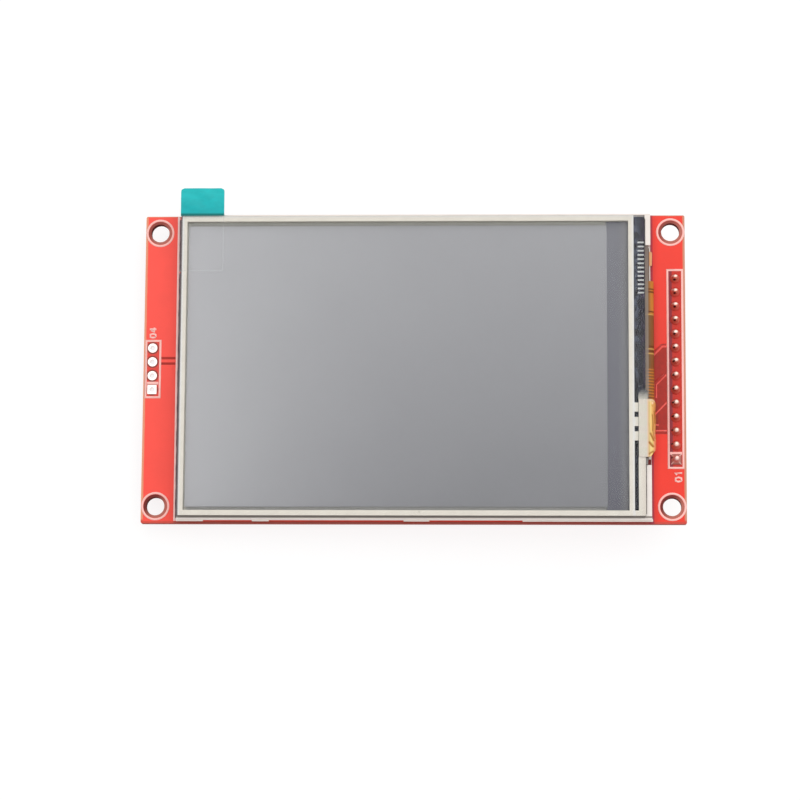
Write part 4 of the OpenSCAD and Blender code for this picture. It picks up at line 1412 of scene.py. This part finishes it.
def thick_sheet(
    name: str,
    grid: Sequence[Sequence[Vector]],
    thickness: float,
    finish: Finish,
    fold: Sequence[Sequence[float]] | None = None,
) -> bpy.types.Object:
    """Makes a bent sheet with a wall from a grid of points on its upper side.

    Args:
        name: the piece's name.
        grid: rows of points in millimetres.
        thickness: the sheet's thickness.
        finish: its finish.
        fold: how sharply the sheet is creased at each point, from 0 to 1.

    Returns:
        The finished object, with the creases in its attribute "fold".
    """
    rows, cols = len(grid), len(grid[0])

    def normal(i: int, j: int) -> Vector:
        """Gives the sheet's direction at a grid point."""
        along = grid[min(i + 1, rows - 1)][j] - grid[max(i - 1, 0)][j]
        across = grid[i][min(j + 1, cols - 1)] - grid[i][max(j - 1, 0)]
        return along.cross(across).normalized()

    upper = [grid[i][j] for i in range(rows) for j in range(cols)]
    lower = [grid[i][j] - normal(i, j) * thickness for i in range(rows) for j in range(cols)]
    total = rows * cols
    faces: list[tuple[int, ...]] = []
    for i in range(rows - 1):
        for j in range(cols - 1):
            a = i * cols + j
            face = (a, a + 1, a + cols + 1, a + cols)
            faces.append(face)
            faces.append(tuple(corner + total for corner in reversed(face)))
    edge = [*range(cols), *range(2 * cols - 1, total, cols)]
    edge += [*range(total - 2, total - cols - 1, -1), *range(total - 2 * cols, 0, -cols)]
    for a, b in zip(edge, edge[1:] + edge[:1]):
        faces.append((a, a + total, b + total, b))
    mesh = mesh_of(name, upper + lower, faces=faces)
    if fold is not None:
        flat = [value for row in fold for value in row]
        mesh.attributes.new("fold", "FLOAT", "POINT").data.foreach_set("value", flat * 2)
    return finished(name, mesh, finish, 40)


def smooth_step(value: float, start: float, end: float) -> float:
    """Gives a smooth step from 0 at start to 1 at end."""
    share = min(1.0, max(0.0, (value - start) / (end - start)))
    return share * share * (3 - 2 * share)


# ---- Sub-assemblies ----


# the middles of the back's chips, its controller's leads from there and its socket's tails
CONTROLLER = (18.2, 4.0)
REGULATOR = (36.2, -19.0)
TRANSISTOR = (34.2, 12.0)
LEADS = [(i - 3.5) * 0.65 for i in range(8)]
TAILS = [-39.0 + 2.5 * i for i in range(9)]


def row(count: int) -> list[float]:
    """Gives the places of a header's holes along its row."""
    return [(index - (count - 1) / 2) * PITCH for index in range(count)]


@dataclass
class CircuitBoard:
    """The board with its print, tracks and vias."""

    ring_radius: float = 2.37
    ring_line: float = 0.38
    ring_line_back: float = 0.2
    ink_t: float = 0.02
    track_t: float = 0.035
    gap_t: float = 0.012
    pins: int = 14
    card_holes: int = 4

    def build(self) -> None:
        """Dresses the board and makes its print, tracks and vias."""
        dress({
            Palette.board: "circuit_board",
            Palette.tinned: "header_pads",
            Palette.pad_copper: "card_header_pads",
        })
        self.front_print()
        self.back_print()
        self.front_tracks()
        self.back_tracks()
        self.vias()

    def ink(self, width: float) -> LineWork:
        """Starts printed lines of one width on the front."""
        return LineWork(Side.FRONT, width, self.ink_t)

    def corners(self, work: LineWork) -> LineWork:
        """Adds the rings round the four mounting holes."""
        for x in (-SCREW_HOLE[0], SCREW_HOLE[0]):
            for y in (-SCREW_HOLE[1], SCREW_HOLE[1]):
                work.circle((x, y), self.ring_radius)
        return work

    def front_print(self) -> None:
        """Makes the front's rings, boxes, long line and pin numbers."""
        self.corners(self.ink(self.ring_line)).make("front_print", Palette.print_front)
        boxes = self.ink(0.52).divided((45.82, -18.06), (48.48, 18.06), -15.42)
        boxes.divided((-48.58, -5.24), (-46.0, 5.14), -2.64)
        boxes.make("front_boxes", Palette.print_front)
        side = self.ink(0.46).line((-43.0, 28.1), (-42.93, 0.0), (-42.86, -27.7))
        side.make("front_long_line", Palette.long_line)
        numbers = self.ink(0.34).digits("01", (47.55, -19.6), 1.3, 90)
        numbers.digits("04", (-47.4, 6.58), 1.2, 90).make("front_numbers", Palette.print_front)

    def back_print(self) -> None:
        """Makes the back's outlines round its parts."""
        work = self.corners(LineWork(Side.BACK, self.ring_line_back, self.ink_t))
        work.divided((45.65, -18.1), (48.75, 18.1), -15.25)
        work.divided((-48.75, -5.1), (-46.2, 5.1), -2.55)
        work.line((-43.4, 27.6), (-43.4, -1.1), (-14.6, -1.1), (-14.6, 27.6))
        work.line((15.1, 6.9), (15.1, 1.1)).line((21.3, 6.9), (21.3, 1.1))
        work.circle((15.0, 7.4), 0.18, 16)
        for x, y in (REGULATOR, TRANSISTOR):
            work.rectangle((x - 2.2, y - 2.2), (x + 2.2, y + 2.2))
        for x, y, wide in BackParts.small_places():
            l, w = (1.75, 0.75) if wide else (0.75, 1.75)
            work.line((x - l, y - w), (x - l, y + w)).line((x + l, y - w), (x + l, y + w))
            if wide:
                work.line((x - l, y + w), (x + l, y + w)).line((x - l, y - w), (x + l, y - w))
        work.digits("1", (44.6, -16.5), 1.4, -90).make("back_print", Palette.print_front)

    def front_tracks(self) -> None:
        """Makes the tracks beside the pin header and the card header."""
        work = LineWork(Side.FRONT, 0.3, self.track_t)
        work.line((42.4, 1.6), (43.44, 2.6), (44.8, 4.0), (45.54, 4.0))
        work.line((43.66, -5.4), (43.7, -2.95), (45.45, -1.2), (45.54, -1.2))
        work.line((42.5, -9.3), (43.7, -8.1), (45.5, -6.22), (45.54, -6.22))
        work.line((42.6, -11.33), (45.54, -11.33)).line((43.5, -10.3), (44.1, -10.3))
        work.make("front_tracks", Palette.track)
        gap = LineWork(Side.FRONT, 0.3, self.gap_t)
        gap.line((42.4, 2.06), (43.3, 2.98), (44.7, 4.36), (45.54, 4.4))
        gap.line((43.26, -6.4), (43.32, -2.8), (45.1, -1.0))
        gap.make("front_clearance", Palette.laminate)

    def routes(self) -> list[list[Point2]]:
        """Lays the back's tracks from the headers, the socket and the controller.

        Returns:
            Each track as a line of points.
        """
        found: list[list[Point2]] = []
        for i, y in enumerate(row(self.pins)):
            reach = 44.6 - 0.55 * abs(i - 6.5)
            end_y = y * 0.62 + 2.0
            bend = (reach - abs(end_y - y), end_y)
            found.append([(HEADER_X - 0.85, y), (reach, y), bend, (31.0 - i * 0.4, end_y)])
        for i, y in enumerate(row(self.card_holes)):
            down, side = -4.0 - 0.7 * i, -44.6 + 0.5 * i
            found.append([
                (CARD_X + 0.75, y), (-45.3 + 0.5 * i, y), (side, y - 0.7), (side, down - 0.6),
                (-44.0 + 0.5 * i, down - 1.2), (-6.0, down - 1.2), (-4.6, down + 0.2),
                (4.0 + i, down + 0.2),
            ])
        for i, x in enumerate(TAILS):
            down = -2.4 - 0.05 * i
            found.append([(x, -0.5), (x, down), (x + 0.8, down - 0.8)])
        for i, lead in enumerate(LEADS):
            x, turn = CONTROLLER[0] + lead, 0.35 * i
            end = (x - 3 + 0.9 * i, 11.4 + turn + 0.9 * abs(i - 3.5))
            found.append([(x, 7.0), (x, 8.4 + turn), end])
        found.append([(-42.0, -21.0), (-20.0, -21.0), (-16.0, -17.0), (30.0, -17.0), (32.0, -19.0)])
        found.append([(-42.0, -23.0), (-18.0, -23.0), (-14.0, -19.0), (26.0, -19.0)])
        found.append([(-10.0, 24.0), (20.0, 24.0), (26.0, 18.0), (30.0, 18.0)])
        return found

    def back_tracks(self) -> None:
        """Makes the back's tracks, each over a wider strip of bare laminate."""
        gap = LineWork(Side.BACK, 0.62, self.gap_t)
        copper = LineWork(Side.BACK, 0.26, self.track_t)
        for route in self.routes():
            gap.line(*route)
            copper.line(*route)
        gap.make("back_clearance", Palette.laminate)
        copper.make("back_tracks", Palette.track)

    def vias(self) -> None:
        """Makes the small plated holes that join the two faces."""
        steps = ((0.13, 0.0), (0.3, 0.0), (0.3, 0.03), (0.26, 0.045), (0.15, 0.045))
        rings = [[(x, y, -height) for x, y in ring_of(radius, 16)] for radius, height in steps]
        part = Solid().rings(rings, closed=True).object("via", Palette.track)
        places = [(*route[-1], 0.0) for route in self.routes()]
        chance = random.Random(7)
        for x in range(-8, 42, 6):
            for y in (-25.5, -10.5, 26.0):
                places.append((x + chance.uniform(-1, 1), y + chance.uniform(-0.8, 0.8), 0.0))
        register(repeat("vias", part, places, Palette.track, turn=0.4, smooth=35))


@dataclass
class PinHeader:
    """The header's plastic, pins and solder joints."""

    count: int = 14
    seat_z: float = 1.64
    height: float = 1.19
    foot: float = 0.94
    tip: float = 0.49
    lean: float = 0.1
    barrel: float = 0.48
    waist: float = 0.72
    flank_fall: float = 1.9
    corner_fall: float = 1.5
    steps: int = 40

    def build(self) -> None:
        """Dresses the header and makes its joints."""
        dress({Palette.header_plastic: "header_body", Palette.gold_pin: "header_pins"})
        first, *others = [(HEADER_X, y, self.seat_z) for y in row(self.count)]
        rounds = repeat(
            "round_joints", self.joint(2.0), others, Palette.joint, 0.5, 0.05, 4, 60
        )
        register(rounds, ["header_solder"])
        square = repeat("first_joint", self.joint(9.0), [first], Palette.first_joint, smooth=60)
        register(square)

    def joint(self, power: float) -> bpy.types.Object:
        """Makes one joint about its own origin.

        Args:
            power: how square its foot is: 2 is round.

        Returns:
            The joint.
        """
        profile = [(self.barrel, -1.5, 2, 0), (self.barrel, -0.03, 2, 0)]
        profile += [(self.foot, -0.03, power, 0), (self.foot, 0.02, power, 0)]
        for k in range(1, 10):
            share = k / 10
            radius = self.tip + (self.foot - self.tip) * (1 - share) ** self.flank_fall
            square = 2 + (power - 2) * (1 - share) ** self.corner_fall
            z = self.height * self.waist * share
            profile.append((radius, z, square, self.lean * share))
        for k in range(7):
            turn = math.pi / 2 * k / 6.6
            z = self.height * (self.waist + (1 - self.waist) * math.sin(turn))
            radius = max(0.02, self.tip * math.cos(turn))
            profile.append((radius, z, 2, self.lean * (1 + 0.5 * math.sin(turn))))
        rings = [
            [(x + lean * 0.4, y + lean, z) for x, y in ring_of(radius, self.steps, square, 0.5)]
            for radius, z, square, lean in profile
        ]
        return Solid().rings(rings).object("joint", Palette.joint, 60)


@dataclass
class BackParts:
    """The chips, small parts and card socket on the back face."""

    end_reach: float = 0.95
    lead_reach: float = 2.95
    foot_reach: Point2 = (0.95, 1.45)

    @staticmethod
    def small_places() -> list[tuple[float, float, bool]]:
        """Gives each small part's place, and whether it lies along the board."""
        upright = [(8.2, 9), (11.2, 9), (39.2, 8), (-7.8, 20), (-7.8, 14), (-7.8, 8), (-4.8, 8)]
        upright += [(41.2, -14), (30.2, -19), (-7.8, 1)]
        lying = [(26.2, 8), (26.2, 4), (26.2, 0), (31.2, 17), (18.2, -4)]
        return [(x, y, False) for x, y in upright] + [(x, y, True) for x, y in lying]

    def build(self) -> None:
        """Dresses the parts and makes the solder under them."""
        dress({
            Palette.chip: "touch_controller regulator lamp_transistor",
            Palette.tinned_lead: "touch_controller_leads regulator_leads lamp_transistor_leads"
            " resistor_caps capacitor_caps",
            Palette.resistor: "resistor_bodies",
            Palette.capacitor: "capacitor_bodies",
            Palette.socket_plastic: "card_socket_base",
            Palette.socket_steel: "card_socket_shell",
            Palette.gold_pin: "card_socket_contacts",
        })
        self.solder()

    def wedge(self, length: float, width: float, height: float) -> bpy.types.Object:
        """Makes a low fillet of solder about its own origin, hanging from the back face.

        Args:
            length: its length along X.
            width: its width along Y.
            height: how far it hangs down.

        Returns:
            The fillet.
        """
        rings = []
        for share, z in ((1.0, 0.0), (0.94, 0.12), (0.8, 0.45), (0.55, 0.8), (0.3, 1.0)):
            narrow = 0.4 + 0.6 * share
            rings.append([
                (x * length / 2 * share, y * width / 2 * narrow, -z * height)
                for x, y in ring_of(1, 24, 4, 0.5)
            ])
        return Solid().rings(rings).object("wedge", Palette.solder, 60)

    def solder(self) -> None:
        """Makes the solder under the small parts, the leads and the socket's feet."""
        ends: dict[bool, list[Point2]] = {True: [], False: []}
        for x, y, lying in self.small_places():
            for way in (-self.end_reach, self.end_reach):
                ends[lying].append((x + way, y) if lying else (x, y + way))
        (x, y), reach = CONTROLLER, self.lead_reach
        fine = [(x + way, y + lead) for way in (-reach, reach) for lead in LEADS]
        pair, single = self.foot_reach
        (x, y), (u, v) = REGULATOR, TRANSISTOR
        big = [(x - pair, y - single), (x + pair, y - single), (x, y + single)]
        big += [(u - single, v - pair), (u - single, v + pair), (u + single, v)]
        big += [(tail, 0.0) for tail in TAILS]
        feet = [(x, y) for x in (-43.9, -14.1) for y in (5.47, 22.37)]
        for name, size, places, turn, shrink, seed in (
            ("solder_lying", (0.8, 1.0, 0.3), ends[True], 0.08, 0.08, 3),
            ("solder_upright", (1.0, 0.8, 0.3), ends[False], 0.08, 0.08, 3),
            ("solder_chip", (1.1, 0.36, 0.12), fine, 0.03, 0.1, 5),
            ("solder_leads", (0.95, 0.95, 0.16), big, 0.1, 0.08, 6),
            ("solder_feet", (1.2, 3.6, 0.2), feet, 0.02, 0.05, 8),
        ):
            spots = [(x, y, 0.0) for x, y in places]
            part = self.wedge(*size)
            register(repeat(name, part, spots, Palette.solder, turn, shrink, seed, 60))


@dataclass
class Screen:
    """The backlight, the screen's glass and its ribbon."""

    bead_x: float = -42.3
    bead_reach: float = 0.44
    bead_low: float = 1.6
    bead_high: float = 2.25
    bead_step: float = 0.35
    mark_x: float = 40.93
    mark_z: float = 4.44

    def build(self) -> None:
        """Dresses the screen's layers and makes the fine pieces round them."""
        dress({
            Palette.white_tape: "mounting_tape",
            Palette.reflector: "reflector_film",
            Palette.frame_white: "backlight_frame",
            Palette.acrylic: "light_guide",
            Palette.diffuser: "diffuser_film",
            Palette.prism: "lower_prism_film upper_prism_film",
            Palette.black_film: "rim_tape",
            Palette.lamp_flex: "lamp_strip",
            Palette.phosphor: "lamps",
            Palette.polariser: "rear_polariser front_polariser",
            Palette.glass: "lower_glass upper_glass",
            Palette.driver: "driver_chip",
            Palette.tape: "ledge_tape",
            Palette.amber: "screen_ribbon",
            Palette.solder: "ribbon_solder",
        })
        self.bead()
        self.marks()
        self.bond()

    def bead(self) -> None:
        """Makes the dark strip along the frame's far end that stands for painted shade in the gap
        beside the frame.
        """
        for name, start, end in (("tape_bead_low", -27.2, 17.5), ("tape_bead_high", 17.95, 27.4)):
            rings: list[list[Point3]] = []
            steps = int((end - start) / self.bead_step)
            for i in range(steps + 1):
                y = start + (end - start) * i / steps
                wave = 0.03 * math.sin(y * 1.1) + 0.02 * math.sin(y * 2.9 + 1)
                outer = self.bead_x - self.bead_reach + wave
                rings.append([
                    (self.bead_x, y, self.bead_low), (self.bead_x, y, self.bead_high),
                    (outer + 0.12, y, self.bead_high), (outer, y, self.bead_high - 0.2),
                    (outer, y, self.bead_low),
                ])
            register(Solid().rings(rings).object(name, Palette.bead, 50))

    def marks(self) -> None:
        """Makes the row of plain printed bars on the black tape."""
        bar = Solid().slab((-0.58, -0.15, 0.0), (0.58, 0.15, 0.015)).object("bar", Palette.mark)
        places = [(self.mark_x, 13.35 + 0.77 * i, self.mark_z) for i in range(13)]
        register(repeat("tape_marks", bar, places, Palette.mark, shrink=0.06, seed=2))

    def bond(self) -> None:
        """Makes the cover over the ribbon's bond and the small pieces in the frame's outlet, two of
        them dark sheets of painted shade.
        """
        cover = Solid().slab((41.64, 15.62, 4.0), (42.3, 22.05, 4.05))
        edge = Solid().slab((42.3, 15.62, 3.96), (42.46, 21.6, 4.03))
        outline = [(42.35, 18.5), (42.95, 18.5)]
        outline += arc((42.65, 20.75), (0.35, 0.35), 0, 8) + [(42.35, 21.1)]
        # dark sheets that stand for painted shade on the frame's outlet shelf
        shade_sheets = Solid().slab((42.04, -17.75, 3.2), (42.62, -16.75, 3.26))
        shade_sheets.slab((42.74, 18.22, 3.2), (43.0, 18.5, 3.26))
        for solid, name, finish in (
            (cover, "bond_cover", Palette.bond),
            (edge, "bond_edge", Palette.bond_edge),
            (Solid().prism(outline, 3.25, 3.33), "ribbon_ear", Palette.ear),
            (shade_sheets, "outlet_stains", Palette.stain),
        ):
            register(solid.object(name, finish))


@dataclass
class TouchPanel:
    """The touch panel, its ribbon, the cover film and the pull tab."""

    skin: float = 0.008
    ribbon_t: float = 0.1
    ribbon_y: Point2 = (-16.6, -6.2)
    ribbon_x: float = 40.36
    run_back: float = 4.2
    bend_x: float = 42.4
    bulge: float = 0.97
    top_z: float = 5.56
    under_z: float = 1.76
    across: int = 110
    tab_corner: float = 0.6
    tab_inset: float = 0.03
    tab_steps: tuple[int, int] = (70, 46)
    tab_t: float = 0.055
    tab_waves: tuple[Point2, ...] = ((0.7, 2.2), (0.7, 2.2), (0, 6.3))
    crease_dip: float = 0.12
    free_x: float = 42.1

    def build(self) -> None:
        """Makes the clear panes, the creased ribbon, the tab and the small parts beside."""
        dress({Palette.foam: "touch_gasket", Palette.cream: "touch_border"})
        self.pane("touch_glass_pane", "touch_glass", Palette.touch_glass)
        self.pane("touch_film_pane", "touch_film", Palette.touch_film)
        self.pane("cover_film_pane", "protective_film", Palette.cover)
        self.ribbon()
        self.glue()
        self.tab()

    def pane(self, name: str, node: str, finish: Finish) -> None:
        """Makes a clear sheet that stands for a node, a hair thinner so that no faces meet."""
        low, high = box_of(node)
        gap = Vector((0, 0, self.skin))
        register(Solid().slab(low + gap, high - gap).object(name, finish), [node])

    def creases(self) -> list[tuple[Point2, Point2, float, float]]:
        """Gives the ribbon's creases as lines seen from above, with their width and depth."""
        return [
            ((42.8, -9.0), (42.88, -11.9), 0.16, 0.8),
            ((42.88, -11.9), (43.15, -13.2), 0.15, 0.6),
            ((42.2, -10.6), (42.46, -12.1), 0.16, 0.35),
            ((42.5, -12.4), (42.98, -13.6), 0.22, 1.0),
            ((42.25, -14.0), (42.85, -14.7), 0.26, 1.0),
            ((42.2, -16.1), (42.95, -15.6), 0.24, 0.75),
            ((43.18, -8.3), (43.22, -10.5), 0.15, 0.7),
            ((42.76, -7.38), (42.8, -7.46), 0.13, 0.7),
        ]

    @staticmethod
    def distance(x: float, y: float, a: Point2, b: Point2) -> float:
        """Gives the distance from a point to a line between two points."""
        dx, dy = b[0] - a[0], b[1] - a[1]
        t = ((x - a[0]) * dx + (y - a[1]) * dy) / (dx * dx + dy * dy)
        t = min(1.0, max(0.0, t))
        return math.hypot(x - a[0] - t * dx, y - a[1] - t * dy)

    def path(self) -> Iterator[tuple[float, float, Point2]]:
        """Follows the ribbon's run from the panel round its bend and back below.

        Returns:
            At each step X, Z and how far the ribbon has narrowed on its two sides.
        """
        for i in range(10):
            yield self.ribbon_x + (self.bend_x - self.ribbon_x) * i / 10, self.top_z, (0.0, 0.0)
        middle, half = (self.top_z + self.under_z) / 2, (self.top_z - self.under_z) / 2
        for i in range(41):
            t = math.pi / 2 - math.pi * i / 40
            reach = min(1.0, max(0.0, math.cos(t)))
            narrow = (1.0, 1.0) if t < 0 else (reach, 1.0 - math.sqrt(1.0 - reach**2))
            yield self.bend_x + self.bulge * reach**0.85, middle + half * math.sin(t), narrow
        for i in range(1, 9):
            yield self.bend_x - self.run_back * i / 8, self.under_z, (1.0, 1.0)

    def sharpness(self, x: float, y: float, z: float) -> float:
        """Gives how sharply the ribbon is creased at a point.

        Args:
            x: the point's place along the board.
            y: its place across the board.
            z: its height.

        Returns:
            The sharpness, from 0 to 1.
        """
        middle = (self.top_z + self.under_z) / 2
        if z <= middle - 0.4 or x <= self.free_x:
            return 0.0
        depths = [
            depth * math.exp(-((self.distance(x, y, a, b) / wide) ** 2))
            for a, b, wide, depth in self.creases()
        ]
        return max(depths) * smooth_step(z, middle, middle + 0.9)

    def ribbon(self) -> None:
        """Makes the touch ribbon with its folds."""
        grid: list[list[Vector]] = []
        fold: list[list[float]] = []
        for x, z, (neck_low, neck_high) in self.path():
            low, high = self.ribbon_y[0] + 1.4 * neck_low, self.ribbon_y[1] - neck_high
            places = [low + (high - low) * j / self.across for j in range(self.across + 1)]
            marks = [self.sharpness(x, y, z) for y in places]
            row: list[Vector] = []
            for y, sharp in zip(places, marks):
                wave = 0.05 * math.sin(y * 1.7) * smooth_step(x, self.free_x, 43.0)
                dip = self.crease_dip * sharp
                row.append(Vector((x - dip + min(wave, 0.03), y, z - dip)))
            grid.append(row)
            fold.append(marks)
        piece = thick_sheet("touch_ribbon_folded", grid, -self.ribbon_t, Palette.yellow, fold)
        register(piece, ["touch_ribbon"])

    def glue(self) -> None:
        """Makes the grey tongue at the ribbon's shoulder and the small foam block."""
        outline = [(40.32, -6.19), (41.98, -6.19), (41.98, -4.7)]
        outline += arc((41.5, -5.5), (1.18, 1.15), 90, 12)
        register(Solid().prism(outline, 5.386, 5.47).object("ribbon_shoulder", Palette.tongue))
        block = Solid().slab((41.66, -17.8, 3.3), (42.02, -16.72, 4.9))
        register(block.object("foam_block", Palette.glue))

    def tab(self) -> None:
        """Makes the crinkled pull tab."""
        low, high = box_of("pull_tab")
        root = box_of("touch_film")[1].y + 0.05
        end, corner = high.y - self.tab_inset, self.tab_corner
        chance = random.Random(11)
        waves = [[chance.uniform(*limits) for limits in self.tab_waves] for _ in range(7)]
        grid: list[list[Vector]] = []
        rows, cols = self.tab_steps
        for i in range(rows + 1):
            y = low.y + (end - low.y) * i / rows
            over = max(0.0, y - (end - corner))
            inset = corner - math.sqrt(max(0.0, corner**2 - over**2))
            free = smooth_step(y, root, root + 2.0)
            row = []
            for j in range(cols + 1):
                x = low.x + inset + (high.x - low.x - 2 * inset) * j / cols
                crumple = sum(math.sin(x * a + y * b + c) for a, b, c in waves) / 7
                lift = free * (0.07 * crumple + 0.05 + 0.012 * max(0.0, y - root) ** 1.5)
                row.append(Vector((x, y, high.z - 0.006 + lift)))
            grid.append(row)
        finish = TabFilm("tab_teal", root, high.x, low.y)
        piece = thick_sheet("pull_tab_crinkled", grid, -self.tab_t, finish)
        register(piece, ["pull_tab"])


@dataclass
class Studio:
    """The floor, the lamps, the world and the camera."""

    floor_half: float = 900.0
    floor_slope: float = 0.06
    floor_touch: Point2 = (-43.0, -3.16)
    floor_glow: float = 0.84
    floor_greys: Point2 = (0.9, 0.2)
    camera_at: Point3 = (20.424, -90.002, 535.618)
    camera_turn: Point3 = (8.9750, 2.3913, 0.3720)
    lens: float = 135.0
    world_level: float = 0.78
    lamp_at: Point3 = (330.0, 480.0, 1000.0)
    lamp_size: float = 1.6
    lamp_power: float = 10.5

    def build(self) -> None:
        """Makes everything that isn't part of the module."""
        self.floor()
        self.world()
        self.lamp()
        self.camera()

    def floor(self) -> None:
        """Makes the pale floor under the header's pins and the socket's edge."""
        far, (touch_x, touch_z) = self.floor_half, self.floor_touch
        corners = [
            (x, y, touch_z - self.floor_slope * (x - touch_x))
            for x, y in ((-far, -far), (far, -far), (far, far), (-far, far))
        ]
        piece = put("floor", mesh_of("floor", corners, faces=[(0, 1, 2, 3)]))
        s = Shader(bpy.data.materials.new("floor_paper"))
        paper, dim = (
            s.node("ShaderNodeBsdfDiffuse", None, {"Color": (grey, grey, grey, 1)})
            for grey in self.floor_greys
        )
        glow = s.node("ShaderNodeEmission", None, {"Color": WHITE, "Strength": self.floor_glow})
        lit = s.node("ShaderNodeAddShader", None, {0: dim, 1: glow})
        below = s.node("ShaderNodeNewGeometry", result="Backfacing")
        top = s.blend(s.seen, paper, lit)
        piece.data.materials.append(s.close(s.blend(below, top, s.nothing)))

    def world(self) -> None:
        """Makes an even white world, brighter to the eye than to the surfaces."""
        world = bpy.context.scene.world = bpy.data.worlds.new("studio")
        s = Shader(world)
        level = s.seen.math("MULTIPLY_ADD", 1.0 - self.world_level, self.world_level)
        s.close(s.node("ShaderNodeBackground", None, {"Strength": level}))

    def lamp(self) -> None:
        """Makes the large soft lamp above, a little to the right of and past the module."""
        data = bpy.data.lights.new("soft_lamp", "AREA")
        data.shape = "SQUARE"
        data.size = self.lamp_size
        data.energy = self.lamp_power
        lamp = put("soft_lamp", data)
        lamp.location = Vector(self.lamp_at) * MM
        lamp.rotation_euler = (-lamp.location).to_track_quat("-Z", "Y").to_euler()

    def camera(self) -> None:
        """Makes the camera."""
        data = bpy.data.cameras.new("camera")
        data.lens = self.lens
        data.sensor_width = 36.0
        data.clip_start, data.clip_end = 0.01, 20.0
        camera = put("camera", data)
        camera.location = Vector(self.camera_at) * MM
        camera.rotation_euler = tuple(math.radians(turn) for turn in self.camera_turn)
        bpy.context.scene.camera = camera


def main() -> None:
    """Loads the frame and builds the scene."""
    logging.basicConfig(level=logging.INFO, format="%(message)s")
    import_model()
    bpy.context.scene.view_settings.view_transform = "Standard"
    # light crosses three clear layers on its way to the screen and again on its way out
    bpy.context.scene.cycles.transparent_max_bounces = 32
    Studio().build()
    CircuitBoard().build()
    PinHeader().build()
    BackParts().build()
    Screen().build()
    TouchPanel().build()


if __name__ == "__main__":
    main()
